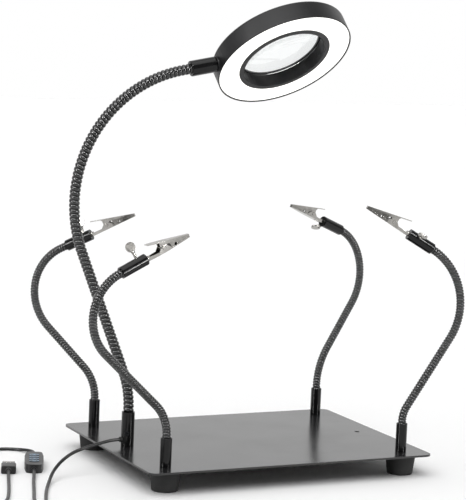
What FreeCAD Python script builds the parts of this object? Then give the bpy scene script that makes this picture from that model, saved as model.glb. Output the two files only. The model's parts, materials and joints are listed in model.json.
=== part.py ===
"""Four-arm soldering helper with a ring-lit magnifier, as a parametric FreeCAD document in millimetres.

The origin is the centre of the base plate's top face, with +Z up, +X along the plate's length
and +Y towards the back. Four goosenecks with sprung clips stand at the plate's corners, and a
thicker gooseneck on the left short side carries the ring lamp. Each gooseneck is a planar curve:
up from its post, away from the plate, then back over it. It is cut into short stiff links at the
places where it bends: a link ends in a ball, and the next link starts a small gap beyond it.
"""
import FreeCAD, Part
import Sketcher
import math
import os
import re

from FreeCAD import Placement, Rotation, Vector

doc = FreeCAD.newDocument("SolderingHelper")

# ---------------------------------------------------------------- driving dimensions

SIZES = {
    # base plate, feet and their screws
    "plate_length": 300, "plate_width": 225, "plate_thick": 2, "plate_corner": 8,
    "arm_spread_x": 126, "arm_spread_y": 90, "lamp_spread": 127,
    "screw_diameter": 4.9, "screw_clearance": 0.3, "screw_grip": 9, "thread_play": 0.1,
    "screw_head": 9.5, "screw_head_thick": 3.2, "spare_hole": 5,
    "foot_top": 30, "foot_bottom": 25, "foot_tall": 20, "foot_recess": 12, "foot_recess_deep": 11,
    # posts that the goosenecks stand in
    "arm_post": 10.8, "arm_post_tall": 28, "lamp_post": 12.6, "lamp_post_tall": 34,
    "post_socket_deep": 14, "neck_seat": 12, "fit_play": 0.1, "post_tap_deep": 12,
    "lamp_seat": 23, "lamp_spigot": 8,
    "lamp_screw_grip": 4, "lamp_tap_deep": 5, "cord_height": 7, "grub_height": 13.5, "grub_screw": 4.8,
    "grub_socket": 2.5, "grub_socket_deep": 1.3,
    # goosenecks
    "arm_neck": 8.2, "lamp_neck": 10.4, "link_gap": 0.3, "arm_first_bend": 7, "lamp_first_bend": 9,
    "arm_second_bend": 80, "lamp_second_bend": 185,
    "rear_left_azimuth": -41, "rear_left_lead": 2, "rear_left_out_radius": 42,
    "rear_left_out_turn": 46.3, "rear_left_middle": 54.4, "rear_left_in_radius": 49.8,
    "rear_left_in_turn": 109.2, "rear_left_tail": 7.2,
    "front_left_azimuth": 9, "front_left_lead": 2, "front_left_out_radius": 39.6,
    "front_left_out_turn": 47.6, "front_left_middle": 76, "front_left_in_radius": 44.2,
    "front_left_in_turn": 113.4, "front_left_tail": 2,
    "rear_right_azimuth": 196.5, "rear_right_lead": 2.5, "rear_right_out_radius": 67,
    "rear_right_out_turn": 36.4, "rear_right_middle": 57.3, "rear_right_in_radius": 51.7,
    "rear_right_in_turn": 105, "rear_right_tail": 0.5,
    "front_right_azimuth": 165.7, "front_right_lead": 2, "front_right_out_radius": 28.7,
    "front_right_out_turn": 30.5, "front_right_middle": 78.9, "front_right_in_radius": 63.9,
    "front_right_in_turn": 90.1, "front_right_tail": 0.5,
    "lamp_azimuth": -3.4, "lamp_lead": 3.9, "lamp_out_radius": 98, "lamp_out_turn": 21.4,
    "lamp_middle": 125.2, "lamp_in_radius": 129, "lamp_in_turn": 100.3, "lamp_tail": 7.5,
    # clip holders on the arms and their thumb screws
    "holder": 11, "holder_long": 28, "holder_bore_deep": 14, "screw_setback": 8,
    "thumb_shank": 2.9, "thumb_reach": 7, "thumb_neck": 4.4, "thumb_neck_tall": 3,
    "thumb_paddle": 9.5, "thumb_paddle_thick": 1.6,
    # clips: x runs from the holder's mouth to the nose, z across the jaws
    "stem": 4.5, "stem_held": 12, "stem_free": 3, "clip_long": 50, "clip_metal": 0.8,
    "tail_wide": 5, "clip_wide": 8, "nose_wide": 3.4, "cheek_play": 0.15,
    "pivot_x": 20, "pivot_z": 2, "pin": 2, "pin_play": 0.1, "pin_head": 3.4, "pin_head_thick": 0.6,
    "floor_z": 2.4, "cheek_z": 4, "nose_tall": 1.5, "lever_z": 12.3, "lever_wide": 6, "lever_x": 5,
    "bite_x": 28, "tooth_pitch": 2, "tooth_deep": 0.7, "bite_gap": 0.12,
    "grip_hole": 3, "grip_hole_x": 33, "grip_hole_z": 0.5,
    "spring_outer": 4.6, "spring_wide": 3.2, "spring_wire": 0.7, "spring_leg": 7, "spring_drop": 0.9,
    # lamp head
    "lamp_holder": 15.2, "lamp_holder_long": 26, "head_gap": 0.3, "stud": 7.9, "stud_long": 12,
    "ring_radius": 68.5, "window_radius": 42, "ring_deep": 20, "ring_wall": 1.2, "inner_wall": 4.6, "ring_back": 2,
    "ring_edge": 3, "boss_reach": 0.8, "head_roll": -38.5,
    "diffuser_thick": 2, "diffuser_setback": 0.8, "piece_play": 0.15,
    "board_thick": 1.6, "board_margin": 2, "lens_edge": 3, "lens_dome": 3, "lens_setback": 13.5,
    "lens_lip": 1.5,
    # cord, controller and plug
    "cord": 3.2, "bush": 5.2, "bush_proud": 2, "bush_long": 4,
    "coil_radius": 18.4, "coil_ring": 9.8, "coil_tall": 6.1,
    "control_long": 54.7, "control_wide": 18.2, "control_tall": 8.6, "control_base_tall": 4,
    "control_waist": 15.6, "control_corner": 3.5, "control_wall": 1.3, "collar": 5, "collar_long": 2.7,
    "button_long": 9.4, "button_wide": 6.4, "button_pitch": 8.6, "button_proud": 0.5,
    "button_play": 0.15, "button_flange": 0.5, "button_flange_thick": 0.8, "button_tall": 2.2,
    "plug_wide": 14.2, "plug_tall": 8, "plug_long": 15.9, "plug_corner": 2, "plug_neck": 5,
    "plug_neck_long": 3.6, "shell_wide": 12, "shell_tall": 4.5, "shell_long": 12, "shell_wall": 0.4,
    "shell_window": 2.4, "shell_window_spread": 5.5,
}

sheet = doc.addObject("Spreadsheet::Sheet", "Sizes")
for row, (alias, number) in enumerate(SIZES.items(), start=1):
    sheet.set(f"A{row}", alias)
    sheet.set(f"B{row}", str(number))
    sheet.setAlias(f"B{row}", alias)
doc.recompute()


def size(name):
    """Value of one driving dimension, read from the sheet."""
    return float(sheet.get(name))


def bound(formula):
    """A formula in sheet names as an expression that FreeCAD keeps up to date."""
    return re.sub(r"[a-z][a-z_]*", lambda m: "Sizes." + m.group() if m.group() in SIZES else m.group(), formula)


# The floor and the cord's height on it
FLOOR = -size("plate_thick") - size("foot_tall")
CORD_LIES = FLOOR + size("cord") / 2

# ---------------------------------------------------------------- document helpers

nodes = []


def node(piece, label):
    """Marks an object as one sub-part, named label."""
    piece.Label = label
    nodes.append(piece)
    return piece


def feature(kind, name, at=None, **formulas):
    """A Part feature whose properties follow formulas; at gives x, y and z formulas of its base."""
    piece = doc.addObject(kind, name)
    for prop, formula in formulas.items():
        piece.setExpression(prop, bound(formula))
    for axis, formula in zip("xyz", at or ()):
        piece.setExpression(f"Placement.Base.{axis}", bound(formula))
    return piece


def rod(name, diameter, length, along=Vector(0, 0, 1), at=("0", "0", "0")):
    """A cylinder of a diameter and length, from at, along a direction."""
    piece = feature("Part::Cylinder", name, Radius=f"({diameter}) / 2", Height=length)
    turned_to = Rotation(Vector(0, 0, 1), along)
    piece.Placement = Placement(Vector(), turned_to)
    for axis, formula in zip("xyz", at):
        piece.setExpression(f"Placement.Base.{axis}", bound(formula))
    return piece


def cut(name, base, *tools):
    """base with each tool cut away in turn."""
    for count, tool in enumerate(tools):
        step = doc.addObject("Part::Cut", f"{name}_cut{count}")
        step.Base, step.Tool = base, tool
        base = step
    return base


def fuse(name, *shapes):
    """Several features fused to one solid."""
    piece = doc.addObject("Part::MultiFuse", name)
    piece.Shapes = list(shapes)
    piece.Refine = True
    return piece


def common(name, first, second):
    """What two features share."""
    piece = doc.addObject("Part::MultiCommon", name)
    piece.Shapes = [first, second]
    return piece


def rounded(name, base, radius, pick):
    """base with the edges that pick chooses rounded to a radius."""
    doc.recompute()
    piece = doc.addObject("Part::Fillet", name)
    piece.Base = base
    edges = [count for count, edge in enumerate(base.Shape.Edges, start=1) if pick(edge)]
    piece.Edges = [(count, radius, radius) for count in edges]
    return piece


def upright(edge):
    """True for an edge along Z."""
    ends = [vertex.Point for vertex in edge.Vertexes]
    return len(ends) == 2 and (ends[1] - ends[0]).cross(Vector(0, 0, 1)).Length < 1e-6


def placed(master, name, placement):
    """A copy of a master feature, moved to a placement."""
    piece = doc.addObject("Part::Compound", name)
    piece.Links = [master]
    piece.Placement = placement
    return piece


def group(name, pieces):
    """Several separate solids as one feature."""
    piece = doc.addObject("Part::Compound", name)
    piece.Links = list(pieces)
    return piece


def solid(name, shape):
    """A feature that holds a shape worked out in code."""
    piece = doc.addObject("Part::Feature", name)
    piece.Shape = shape
    return piece


def outline(name, corners, turn=Rotation()):
    """A closed sketch through corners, each an (x, y) pair of formulas that hold it in place."""
    sketch = doc.addObject("Sketcher::SketchObject", name)
    sketch.Placement = Placement(Vector(), turn)
    count = len(corners)
    for index in range(count):
        sketch.addGeometry(Part.LineSegment(Vector(index, index % 2, 0), Vector(index + 1, (index + 1) % 2, 0)))
    for index, (across, up) in enumerate(corners):
        sketch.addConstraint(Sketcher.Constraint("Coincident", index - 1 if index else count - 1, 2, index, 1))
        for kind, formula in (("DistanceX", across), ("DistanceY", up)):
            row = sketch.addConstraint(Sketcher.Constraint(kind, -1, 1, index, 1, float(index + 1)))
            sketch.setExpression(f"Constraints[{row}]", bound(formula))
    return sketch


def slab(name, sketch, thickness, symmetric=True):
    """A sketch given a thickness, half to each side unless symmetric is False."""
    piece = doc.addObject("Part::Extrusion", name)
    piece.Base = sketch
    piece.DirMode = "Normal"
    piece.Symmetric = symmetric
    piece.Solid = True
    piece.setExpression("LengthFwd", bound(thickness))
    return piece


SIDE = Rotation(Vector(1, 0, 0), 90)  # a sketch in the XZ plane


# ---------------------------------------------------------------- gooseneck curves

class NeckPath:
    """A gooseneck's centre line: a planar chain of straight runs and arcs, in the upright plane
    through its post at an azimuth. Distances along it count from the post's top."""

    def __init__(self, name, post_x, post_y, post_tall):
        def read(key):
            return size(f"{name}_{key}")

        azimuth = math.radians(read("azimuth"))
        self.inward = Vector(math.cos(azimuth), math.sin(azimuth), 0)
        self.post_top = Vector(post_x, post_y, post_tall)
        out_turn, in_turn = math.radians(read("out_turn")), math.radians(read("in_turn"))
        # Each run is its length and its bend per millimetre, positive where it leans inwards
        self.runs = [
            (read("lead"), 0.0),
            (read("out_radius") * out_turn, -1 / read("out_radius")),
            (read("middle"), 0.0),
            (read("in_radius") * in_turn, 1 / read("in_radius")),
            (read("tail"), 0.0),
        ]
        self.length = sum(run[0] for run in self.runs)

    def at(self, distance):
        """(point, tangent, upper normal) at a distance; a negative one is down inside the post."""
        point, lean = Vector(self.post_top), 0.0
        left = distance
        if distance < 0:
            return point + Vector(0, 0, distance), Vector(0, 0, 1), -self.inward
        for length, bend in self.runs:
            step = min(left, length)
            point = point + self._across(lean, bend, step)
            lean += bend * step
            left -= step
            if left <= 0:
                break
        tangent = self.inward * math.sin(lean) + Vector(0, 0, math.cos(lean))
        upper = Vector(0, 0, math.sin(lean)) - self.inward * math.cos(lean)
        return point, tangent, upper

    def _across(self, lean, bend, step):
        """The move along one run from a lean from upright."""
        if abs(bend) < 1e-9:
            return (self.inward * math.sin(lean) + Vector(0, 0, math.cos(lean))) * step
        after = lean + bend * step
        across = (math.cos(lean) - math.cos(after)) / bend
        up = (math.sin(after) - math.sin(lean)) / bend
        return self.inward * across + Vector(0, 0, up)

    def tube(self, start, end, diameter):
        """A round solid along the curve from start to end, one piece for each run."""
        breaks, total = [start], 0.0
        for length, _ in [(0.0, 0.0)] + self.runs:
            total += length
            if start + 0.01 < total < end - 0.01:
                breaks.append(total)
        breaks.append(end)
        pieces = [self._stretch(low, high, diameter) for low, high in zip(breaks, breaks[1:])]
        return pieces[0].multiFuse(pieces[1:]).removeSplitter() if len(pieces) > 1 else pieces[0]

    def _stretch(self, low, high, diameter):
        """The round solid along one straight run or arc."""
        point, tangent, _ = self.at(low)
        section = Part.Face(Part.Wire(Part.Circle(point, tangent, diameter / 2).toShape()))
        middle = (low + high) / 2
        bend, total = 0.0, 0.0
        for length, run_bend in self.runs:
            if total <= middle < total + length:
                bend = run_bend
            total += length
        if abs(bend) < 1e-9:
            return section.extrude(tangent * (high - low))
        side = Vector(0, 0, 1).cross(self.inward)
        centre = point + side.cross(tangent) / bend
        return section.revolve(centre, side, math.degrees(bend * (high - low)))

    def link(self, start, end, diameter):
        """A gooseneck link with a ball at its end."""
        ball = Part.makeSphere(diameter / 2, self.at(end)[0])
        return self.tube(start, end, diameter).fuse(ball).removeSplitter()

    def frame(self, beyond):
        """Placement past the gooseneck's end: x along it, z on its upper side."""
        point, tangent, upper = self.at(self.length)
        across = upper.cross(tangent)
        turn = Rotation(FreeCAD.Matrix(
            tangent.x, across.x, upper.x, 0, tangent.y, across.y, upper.y, 0,
            tangent.z, across.z, upper.z, 0, 0, 0, 0, 1))
        return Placement(point + tangent * beyond, turn)


ARMS = {
    "rear_left": (-1, 1), "front_left": (-1, -1), "rear_right": (1, 1), "front_right": (1, -1),
}
# How far each thumb screw is turned round its holder from straight up
THUMB_ROLL = {"rear_left": -16, "front_left": -18, "rear_right": 110, "front_right": -72}

paths = {
    name: NeckPath(name, side * size("arm_spread_x"), end * size("arm_spread_y"),
                   size("arm_post_tall"))
    for name, (side, end) in ARMS.items()
}
paths["lamp"] = NeckPath("lamp", -size("lamp_spread"), 0, size("lamp_post_tall"))

# ---------------------------------------------------------------- base


def make_base_plate():
    """Flat steel plate with rounded corners and six holes."""
    body = doc.addObject("PartDesign::Body", "PlateBody")
    planes = {plane.Role: plane for plane in body.Origin.OriginFeatures}
    face = body.newObject("Sketcher::SketchObject", "PlateOutline")
    face.AttachmentSupport = (planes["XY_Plane"], "")
    face.MapMode = "FlatFace"
    corners = [(-1, -1), (1, -1), (1, 1), (-1, 1)]
    for index, (side, end) in enumerate(corners):
        after = corners[(index + 1) % 4]
        face.addGeometry(Part.LineSegment(Vector(100 * side, 90 * end, 0), Vector(100 * after[0], 90 * after[1], 0)))
    for index, (side, end) in enumerate(corners):
        face.addConstraint(Sketcher.Constraint("Coincident", (index - 1) % 4, 2, index, 1))
        across = face.addConstraint(Sketcher.Constraint("DistanceX", -1, 1, index, 1, 100.0 * side))
        face.setExpression(f"Constraints[{across}]", bound(f"{side} * plate_length / 2"))
        along = face.addConstraint(Sketcher.Constraint("DistanceY", -1, 1, index, 1, 90.0 * end))
        face.setExpression(f"Constraints[{along}]", bound(f"{end} * plate_width / 2"))
    plate = body.newObject("PartDesign::Pad", "PlatePad")
    plate.Profile = face
    plate.Reversed = True
    plate.setExpression("Length", bound("plate_thick"))
    doc.recompute()
    corner = body.newObject("PartDesign::Fillet", "PlateCorners")
    corner.Base = (plate, [f"Edge{n}" for n, edge in enumerate(plate.Shape.Edges, start=1) if upright(edge)])
    corner.setExpression("Radius", bound("plate_corner"))
    doc.recompute()
    drill = body.newObject("Sketcher::SketchObject", "PlateHoles")
    drill.AttachmentSupport = (planes["XY_Plane"], "")
    drill.MapMode = "FlatFace"
    spots = [(f"{side} * arm_spread_x", f"{end} * arm_spread_y") for side, end in ARMS.values()]
    spots.append(("-lamp_spread", "0"))
    holes = [(spot, "(screw_diameter + screw_clearance) / 2") for spot in spots]
    holes.append((("lamp_spread", "0"), "spare_hole / 2"))
    for index, ((across, along), radius) in enumerate(holes):
        drill.addGeometry(Part.Circle(Vector(10 * index - 30, 5, 0), Vector(0, 0, 1), 2))
        for kind, formula in (("DistanceX", across), ("DistanceY", along)):
            row_number = drill.addConstraint(Sketcher.Constraint(kind, -1, 1, index, 3, float(index + 1)))
            drill.setExpression(f"Constraints[{row_number}]", bound(formula))
        row_number = drill.addConstraint(Sketcher.Constraint("Radius", index, 2.0))
        drill.setExpression(f"Constraints[{row_number}]", bound(radius))
    pocket = body.newObject("PartDesign::Pocket", "PlateDrilling")
    pocket.Profile = drill
    pocket.Type = "ThroughAll"
    pocket.Midplane = True
    doc.recompute()
    if pocket.Shape.Volume > corner.Shape.Volume - 1:
        raise ValueError("the plate's holes cut nothing")
    return body


def make_foot():
    """Tapered rubber foot with a recess for its screw's head, its top at z = 0."""
    block = feature("Part::Cone", "FootBlock", ("0", "0", "-foot_tall"),
                    Radius1="foot_bottom / 2", Radius2="foot_top / 2", Height="foot_tall")
    recess = rod("FootRecess", "foot_recess", "foot_recess_deep + 1", at=("0", "0", "-foot_tall - 1"))
    passage = rod("FootPassage", "screw_diameter + screw_clearance", "foot_tall + 1",
                  at=("0", "0", "-foot_tall - 0.5"))
    return cut("Foot", block, recess, passage)


def make_screw(name, shank_long):
    """Round-headed screw, its shank rising from z = 0 and its head below."""
    head = rod(f"{name}Head", "screw_head", "screw_head_thick", at=("0", "0", "-screw_head_thick"))
    doc.recompute()
    dome = rounded(f"{name}Dome", head, size("screw_head_thick") * 0.6,
                   lambda edge: abs(edge.BoundBox.ZMax + size("screw_head_thick")) < 1e-6 and edge.Closed)
    shank = rod(f"{name}Shank", "screw_diameter", shank_long)
    slot_one = feature("Part::Box", f"{name}SlotOne", ("-screw_diameter / 2", "-0.5", "-screw_head_thick - 1"),
                       Length="screw_diameter", Width="1", Height="2.5")
    slot_two = feature("Part::Box", f"{name}SlotTwo", ("-0.5", "-screw_diameter / 2", "-screw_head_thick - 1"),
                       Length="1", Width="screw_diameter", Height="2.5")
    return cut(name, fuse(f"{name}Blank", dome, shank), slot_one, slot_two)


def make_arm_post():
    """Round post: a socket for the gooseneck on top and a tapped hole below."""
    return cut("ArmPost", rod("ArmPostBar", "arm_post", "arm_post_tall"),
               rod("ArmPostSocket", "arm_neck + fit_play", "post_socket_deep + 1",
                   at=("0", "0", "arm_post_tall - post_socket_deep")),
               rod("ArmPostTap", "screw_diameter + thread_play", "post_tap_deep + 1", at=("0", "0", "-1")))


GRUB_WAY = Vector(-0.45, -0.893, 0)  # the side of the lamp post that the grub screw is in


def make_grub(out):
    """Grub screw between the gooseneck's spigot and the post's face, with a round socket."""
    start = "(lamp_spigot / 2 + thread_play / 2)"
    long = "((lamp_post - lamp_spigot) / 2 - 2 * thread_play)"
    body = rod("GrubBody", "grub_screw", long, out,
               (f"{out.x} * {start} - lamp_spread", f"{out.y} * {start}", "grub_height"))
    deep = f"({start} + {long} - grub_socket_deep)"
    socket = rod("GrubSocket", "grub_socket", "lamp_post", out,
                 (f"{out.x} * {deep} - lamp_spread", f"{out.y} * {deep}", "grub_height"))
    return cut("Grub", body, socket)


def make_lamp_post():
    """The thicker post, with a side hole for the cord and a grub screw hole above it."""
    towards_cord = Vector(-1, 0, 0)
    return cut("LampPost", rod("LampPostBar", "lamp_post", "lamp_post_tall"),
               rod("LampPostSocket", "lamp_spigot + fit_play", "lamp_seat + 2",
                   at=("0", "0", "lamp_post_tall - lamp_seat - 1")),
               rod("LampPostTap", "screw_diameter + thread_play", "lamp_tap_deep + 1", at=("0", "0", "-1")),
               rod("LampPostCordWay", "cord + 1", "lamp_post_tall - cord_height", at=("0", "0", "cord_height")),
               rod("LampPostCordHole", "bush + thread_play", "lamp_post", towards_cord,
                   ("0", "0", "cord_height")),
               rod("LampPostGrubHole", "grub_screw + thread_play", "lamp_post", GRUB_WAY,
                   ("0", "0", "grub_height")))


def at_arm(name, height=0.0):
    """Placement on the plate at an arm's post."""
    side, end = ARMS[name]
    return Placement(Vector(side * size("arm_spread_x"), end * size("arm_spread_y"), height), Rotation())


at_lamp = Placement(Vector(-size("lamp_spread"), 0, 0), Rotation())

node(make_base_plate(), "base_plate")
foot = make_foot()
node(group("Feet", [placed(foot, f"Foot_{name}", at_arm(name, -size("plate_thick"))) for name in ARMS]),
     "rubber_feet")
screw_seat = FLOOR + size("foot_recess_deep")
foot_screw = make_screw("FootScrew", "foot_tall - foot_recess_deep + plate_thick + screw_grip")
node(group("FootScrews", [placed(foot_screw, f"Screw_{name}", at_arm(name, screw_seat)) for name in ARMS]),
     "foot_screws")
arm_post = make_arm_post()
node(group("ArmPosts", [placed(arm_post, f"Post_{name}", at_arm(name)) for name in ARMS]), "arm_posts")
node(placed(make_lamp_post(), "LampPostPlaced", at_lamp), "lamp_post")
lamp_screw = make_screw("LampScrew", "plate_thick + lamp_screw_grip")
node(placed(lamp_screw, "LampScrewPlaced", Placement(at_lamp.Base - Vector(0, 0, size("plate_thick")), Rotation())),
     "lamp_post_screw")
node(make_grub(GRUB_WAY.normalize()), "lamp_grub_screw")
bush_blank = rod("BushBlank", "bush", "bush_long", Vector(-1, 0, 0),
                 ("-lamp_spread - lamp_post / 2 + bush_long - bush_proud", "0", "cord_height"))
bush_bore = rod("BushBore", "cord + thread_play", "bush_proud + 1", Vector(-1, 0, 0),
                ("-lamp_spread - lamp_post / 2", "0", "cord_height"))
node(cut("Bush", bush_blank, bush_bore), "cord_bush")

# ---------------------------------------------------------------- goosenecks

neck_size = {name: size("lamp_neck" if name == "lamp" else "arm_neck") for name in paths}
first_bend = {name: size("lamp_first_bend" if name == "lamp" else "arm_first_bend") for name in paths}
second_bend = {name: size("lamp_second_bend" if name == "lamp" else "arm_second_bend") for name in paths}
# From a bend's centre to where the next link starts
reach = {name: neck_size[name] / 2 + size("link_gap") for name in paths}


def make_neck_root(name):
    """A gooseneck's lower end: what sits in the post, and the first ball just above it."""
    path, lamp = paths[name], name == "lamp"
    seat = path.tube(-size("lamp_seat" if lamp else "neck_seat"), 0, size("lamp_spigot") if lamp else neck_size[name])
    return seat.fuse(path.link(0, first_bend[name], neck_size[name])).removeSplitter()


node(solid("NeckRoots", Part.makeCompound([make_neck_root(name) for name in paths])), "neck_roots")
for name, path in paths.items():
    last_bend = path.length - reach[name]
    lower = path.link(first_bend[name] + reach[name], second_bend[name], neck_size[name])
    upper = path.link(second_bend[name] + reach[name], last_bend, neck_size[name])
    node(solid(f"{name}_LowerLink", lower), f"{name}_neck_lower")
    node(solid(f"{name}_UpperLink", upper), f"{name}_neck_upper")

# ---------------------------------------------------------------- clips and their holders


def make_holder():
    """Clip holder: x = 0 is its mouth, with a bore for the clip's stem and a tapped hole on top."""
    along = Vector(1, 0, 0)
    return cut("Holder", rod("HolderBar", "holder", "holder_long", along, ("-holder_long", "0", "0")),
               rod("HolderBore", "stem + fit_play", "holder_bore_deep + 1", along, ("-holder_bore_deep", "0", "0")),
               rod("HolderTap", "thumb_shank + thread_play", "holder", at=("-screw_setback", "0", "0")))


def make_thumb_screw():
    """Thumb screw with a flat round paddle, its tip just off the stem at z = 0 on the stem's axis."""
    tip = "stem / 2 + thread_play"
    shank = rod("ThumbShank", "thumb_shank", "holder / 2 + thumb_reach - (stem / 2 + thread_play)",
                at=("0", "0", tip))
    neck = feature("Part::Cone", "ThumbNeck", ("0", "0", "holder / 2 + thumb_reach - thumb_neck_tall"),
                   Radius1="thumb_shank / 2", Radius2="thumb_neck / 2", Height="thumb_neck_tall")
    paddle = rod("ThumbPaddle", "thumb_paddle", "thumb_paddle_thick", Vector(0, 1, 0),
                 ("0", "-thumb_paddle_thick / 2", "holder / 2 + thumb_reach + thumb_paddle / 2 - 0.8"))
    return fuse("ThumbScrew", shank, neck, paddle)


def plan(name, tail_x, tail_wide, full_x, wide, end_x, narrow, inset):
    """Top-view outline of a jaw: tail, full width, then narrowing to the nose, less an inset."""
    half = [(tail_x, f"{tail_wide} / 2 - {inset}"), (full_x, f"{wide} / 2 - {inset}"),
            ("pivot_x + 6", f"{wide} / 2 - {inset}"), (end_x, f"{narrow} / 2 - {inset}")]
    return outline(name, half + [(x, f"-({y})") for x, y in reversed(half)])


def bite(shift):
    """The toothed edge from the nose back to where the bite begins, raised by shift."""
    count = int((size("clip_long") - size("bite_x")) / size("tooth_pitch"))
    points = []
    for step in range(2 * count + 1):
        level = "tooth_deep / 2" if step % 2 else "-tooth_deep / 2"
        points.append((f"clip_long - {step} * tooth_pitch / 2", f"{level} + {shift}"))
    return points


def grip_hole(name):
    """The round hole across both jaws, behind the nose, that holds a wire."""
    return rod(name, "grip_hole", "clip_wide + 2", Vector(0, 1, 0),
               ("grip_hole_x", "-clip_wide / 2 - 1", "grip_hole_z"))


def make_lower_jaw():
    """Lower jaw: a stem, a narrow channel and a toothed channel with two cheeks for the pin."""
    side = ([("stem_free - 1", "-floor_z"), ("clip_long", "-nose_tall")] + bite("0")
            + [("pivot_x + 5", "cheek_z - 1.5"), ("pivot_x + 2.5", "cheek_z"), ("pivot_x - 2.5", "cheek_z"),
               ("pivot_x - 6", "0.6"), ("stem_free - 1", "0.6")])
    hollow = [("stem_free + 2", "-floor_z + clip_metal"), ("clip_long - 1", "-nose_tall + clip_metal"),
              ("clip_long - 1", "cheek_z + 2"), ("stem_free + 2", "cheek_z + 2")]
    outer = common("LowerOuter",
                   slab("LowerSide", outline("LowerSideLine", side, SIDE), "clip_wide + 2"),
                   slab("LowerPlan", plan("LowerPlanLine", "stem_free - 1", "tail_wide", "pivot_x - 6",
                                          "clip_wide", "clip_long", "nose_wide", "0"), "40"))
    inner = common("LowerInner",
                   slab("LowerHollow", outline("LowerHollowLine", hollow, SIDE), "clip_wide + 2"),
                   slab("LowerHollowPlan", plan("LowerHollowPlanLine", "stem_free - 1", "tail_wide",
                                                "pivot_x - 6", "clip_wide", "clip_long", "nose_wide",
                                                "clip_metal"), "40"))
    channel = cut("LowerChannel", outer, inner)
    stem = rod("LowerStem", "stem", "stem_held + stem_free", Vector(1, 0, 0), ("-stem_held", "0", "0"))
    pin_hole = rod("LowerPinHole", "pin + pin_play / 2", "clip_wide + 2", Vector(0, 1, 0),
                   ("pivot_x", "-clip_wide / 2 - 1", "pivot_z"))
    return cut("LowerJaw", fuse("LowerBlank", channel, stem), pin_hole, grip_hole("LowerGripHole"))


def make_upper_jaw():
    """Upper jaw: a toothed channel, two narrow cheeks between the lower ones, and a thumb lever."""
    shift = "bite_gap"

    def back(x):
        """Height of the jaw's straight back, from the nose to the lever's end."""
        return f"(nose_tall + bite_gap + (clip_long - ({x})) / (clip_long - lever_x) * (lever_z - nose_tall - bite_gap))"

    jaw_side = (bite(shift)
                + [("pivot_x + 6.6", "cheek_z + 0.3"), ("pivot_x - 1", "cheek_z + 1.3"),
                   ("pivot_x - 4", back("pivot_x - 4") + " - clip_metal"), ("lever_x", "lever_z - clip_metal"),
                   ("lever_x", "lever_z"), ("clip_long", "nose_tall + bite_gap")])
    hollow = [("clip_long - 1", "nose_tall + bite_gap - clip_metal"), ("clip_long - 1", "-3"),
              ("pivot_x - 5", "-3"), ("pivot_x - 5", back("pivot_x - 5") + " - clip_metal")]
    play = "clip_metal + cheek_play"
    jaw = cut("UpperJawPart",
              common("UpperOuter",
                     slab("UpperSide", outline("UpperSideLine", jaw_side, SIDE), "clip_wide + 2"),
                     slab("UpperPlan", plan("UpperPlanLine", "lever_x", "lever_wide", "pivot_x - 6",
                                            "clip_wide", "clip_long", "nose_wide", "0"), "40")),
              common("UpperInner",
                     slab("UpperHollow", outline("UpperHollowLine", hollow, SIDE), "clip_wide + 2"),
                     slab("UpperHollowPlan", plan("UpperHollowPlanLine", "lever_x", "clip_wide", "pivot_x - 6",
                                                  "clip_wide", "clip_long", "nose_wide", "clip_metal"), "40")))
    cheek_side = [("pivot_x - 3", "pivot_z"), ("pivot_x - 2.1", "pivot_z - 2.1"), ("pivot_x", "pivot_z - 3"),
                  ("pivot_x + 2.1", "pivot_z - 2.1"), ("pivot_x + 3", "pivot_z"),
                  ("pivot_x + 4.5", back("pivot_x + 4.5") + " - clip_metal / 2"),
                  ("pivot_x - 3", back("pivot_x - 3") + " - clip_metal / 2")]
    cheeks = cut("UpperCheeks",
                 slab("UpperCheekBlock", outline("UpperCheekLine", cheek_side, SIDE), f"clip_wide - 2 * ({play})"),
                 feature("Part::Box", "UpperCheekGap", ("pivot_x - 8", f"-(clip_wide / 2 - ({play}) - clip_metal)", "-5"),
                         Length="16", Width=f"clip_wide - 2 * ({play}) - 2 * clip_metal", Height="20"))
    pin_hole = rod("UpperPinHole", "pin + pin_play", "clip_wide + 2", Vector(0, 1, 0),
                   ("pivot_x", "-clip_wide / 2 - 1", "pivot_z"))
    return cut("UpperJaw", fuse("UpperBlank", jaw, cheeks), pin_hole, grip_hole("UpperGripHole"))


def make_jaw_pin():
    """Rivet through both jaws, with a head outside each cheek."""
    across = Vector(0, 1, 0)
    shank = rod("PinShank", "pin", "clip_wide + pin_head_thick", across,
                ("pivot_x", "-clip_wide / 2 - pin_head_thick / 2", "pivot_z"))
    heads = [rod(f"PinHead{count}", "pin_head", "pin_head_thick", across, ("pivot_x", start, "pivot_z"))
             for count, start in enumerate(("clip_wide / 2", "-clip_wide / 2 - pin_head_thick"))]
    return fuse("JawPin", shank, *heads)


def make_jaw_spring():
    """Torsion spring round the pin, plain, with the leg that presses on the lower jaw."""
    across = Vector(0, 1, 0)
    coil = rod("SpringCoil", "spring_outer", "spring_wide", across, ("pivot_x", "-spring_wide / 2", "pivot_z"))
    eye = rod("SpringEye", "pin + 2 * pin_play", "spring_wide + 2", across,
              ("pivot_x", "-spring_wide / 2 - 1", "pivot_z"))
    leg = rod("SpringLeg", "spring_wire", "spring_leg", Vector(size("spring_leg"), 0, -size("spring_drop")),
              ("pivot_x", "0", "pivot_z - spring_outer / 2 + spring_wire / 2"))
    return cut("JawSpring", fuse("SpringBlank", coil, leg), eye)


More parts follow.
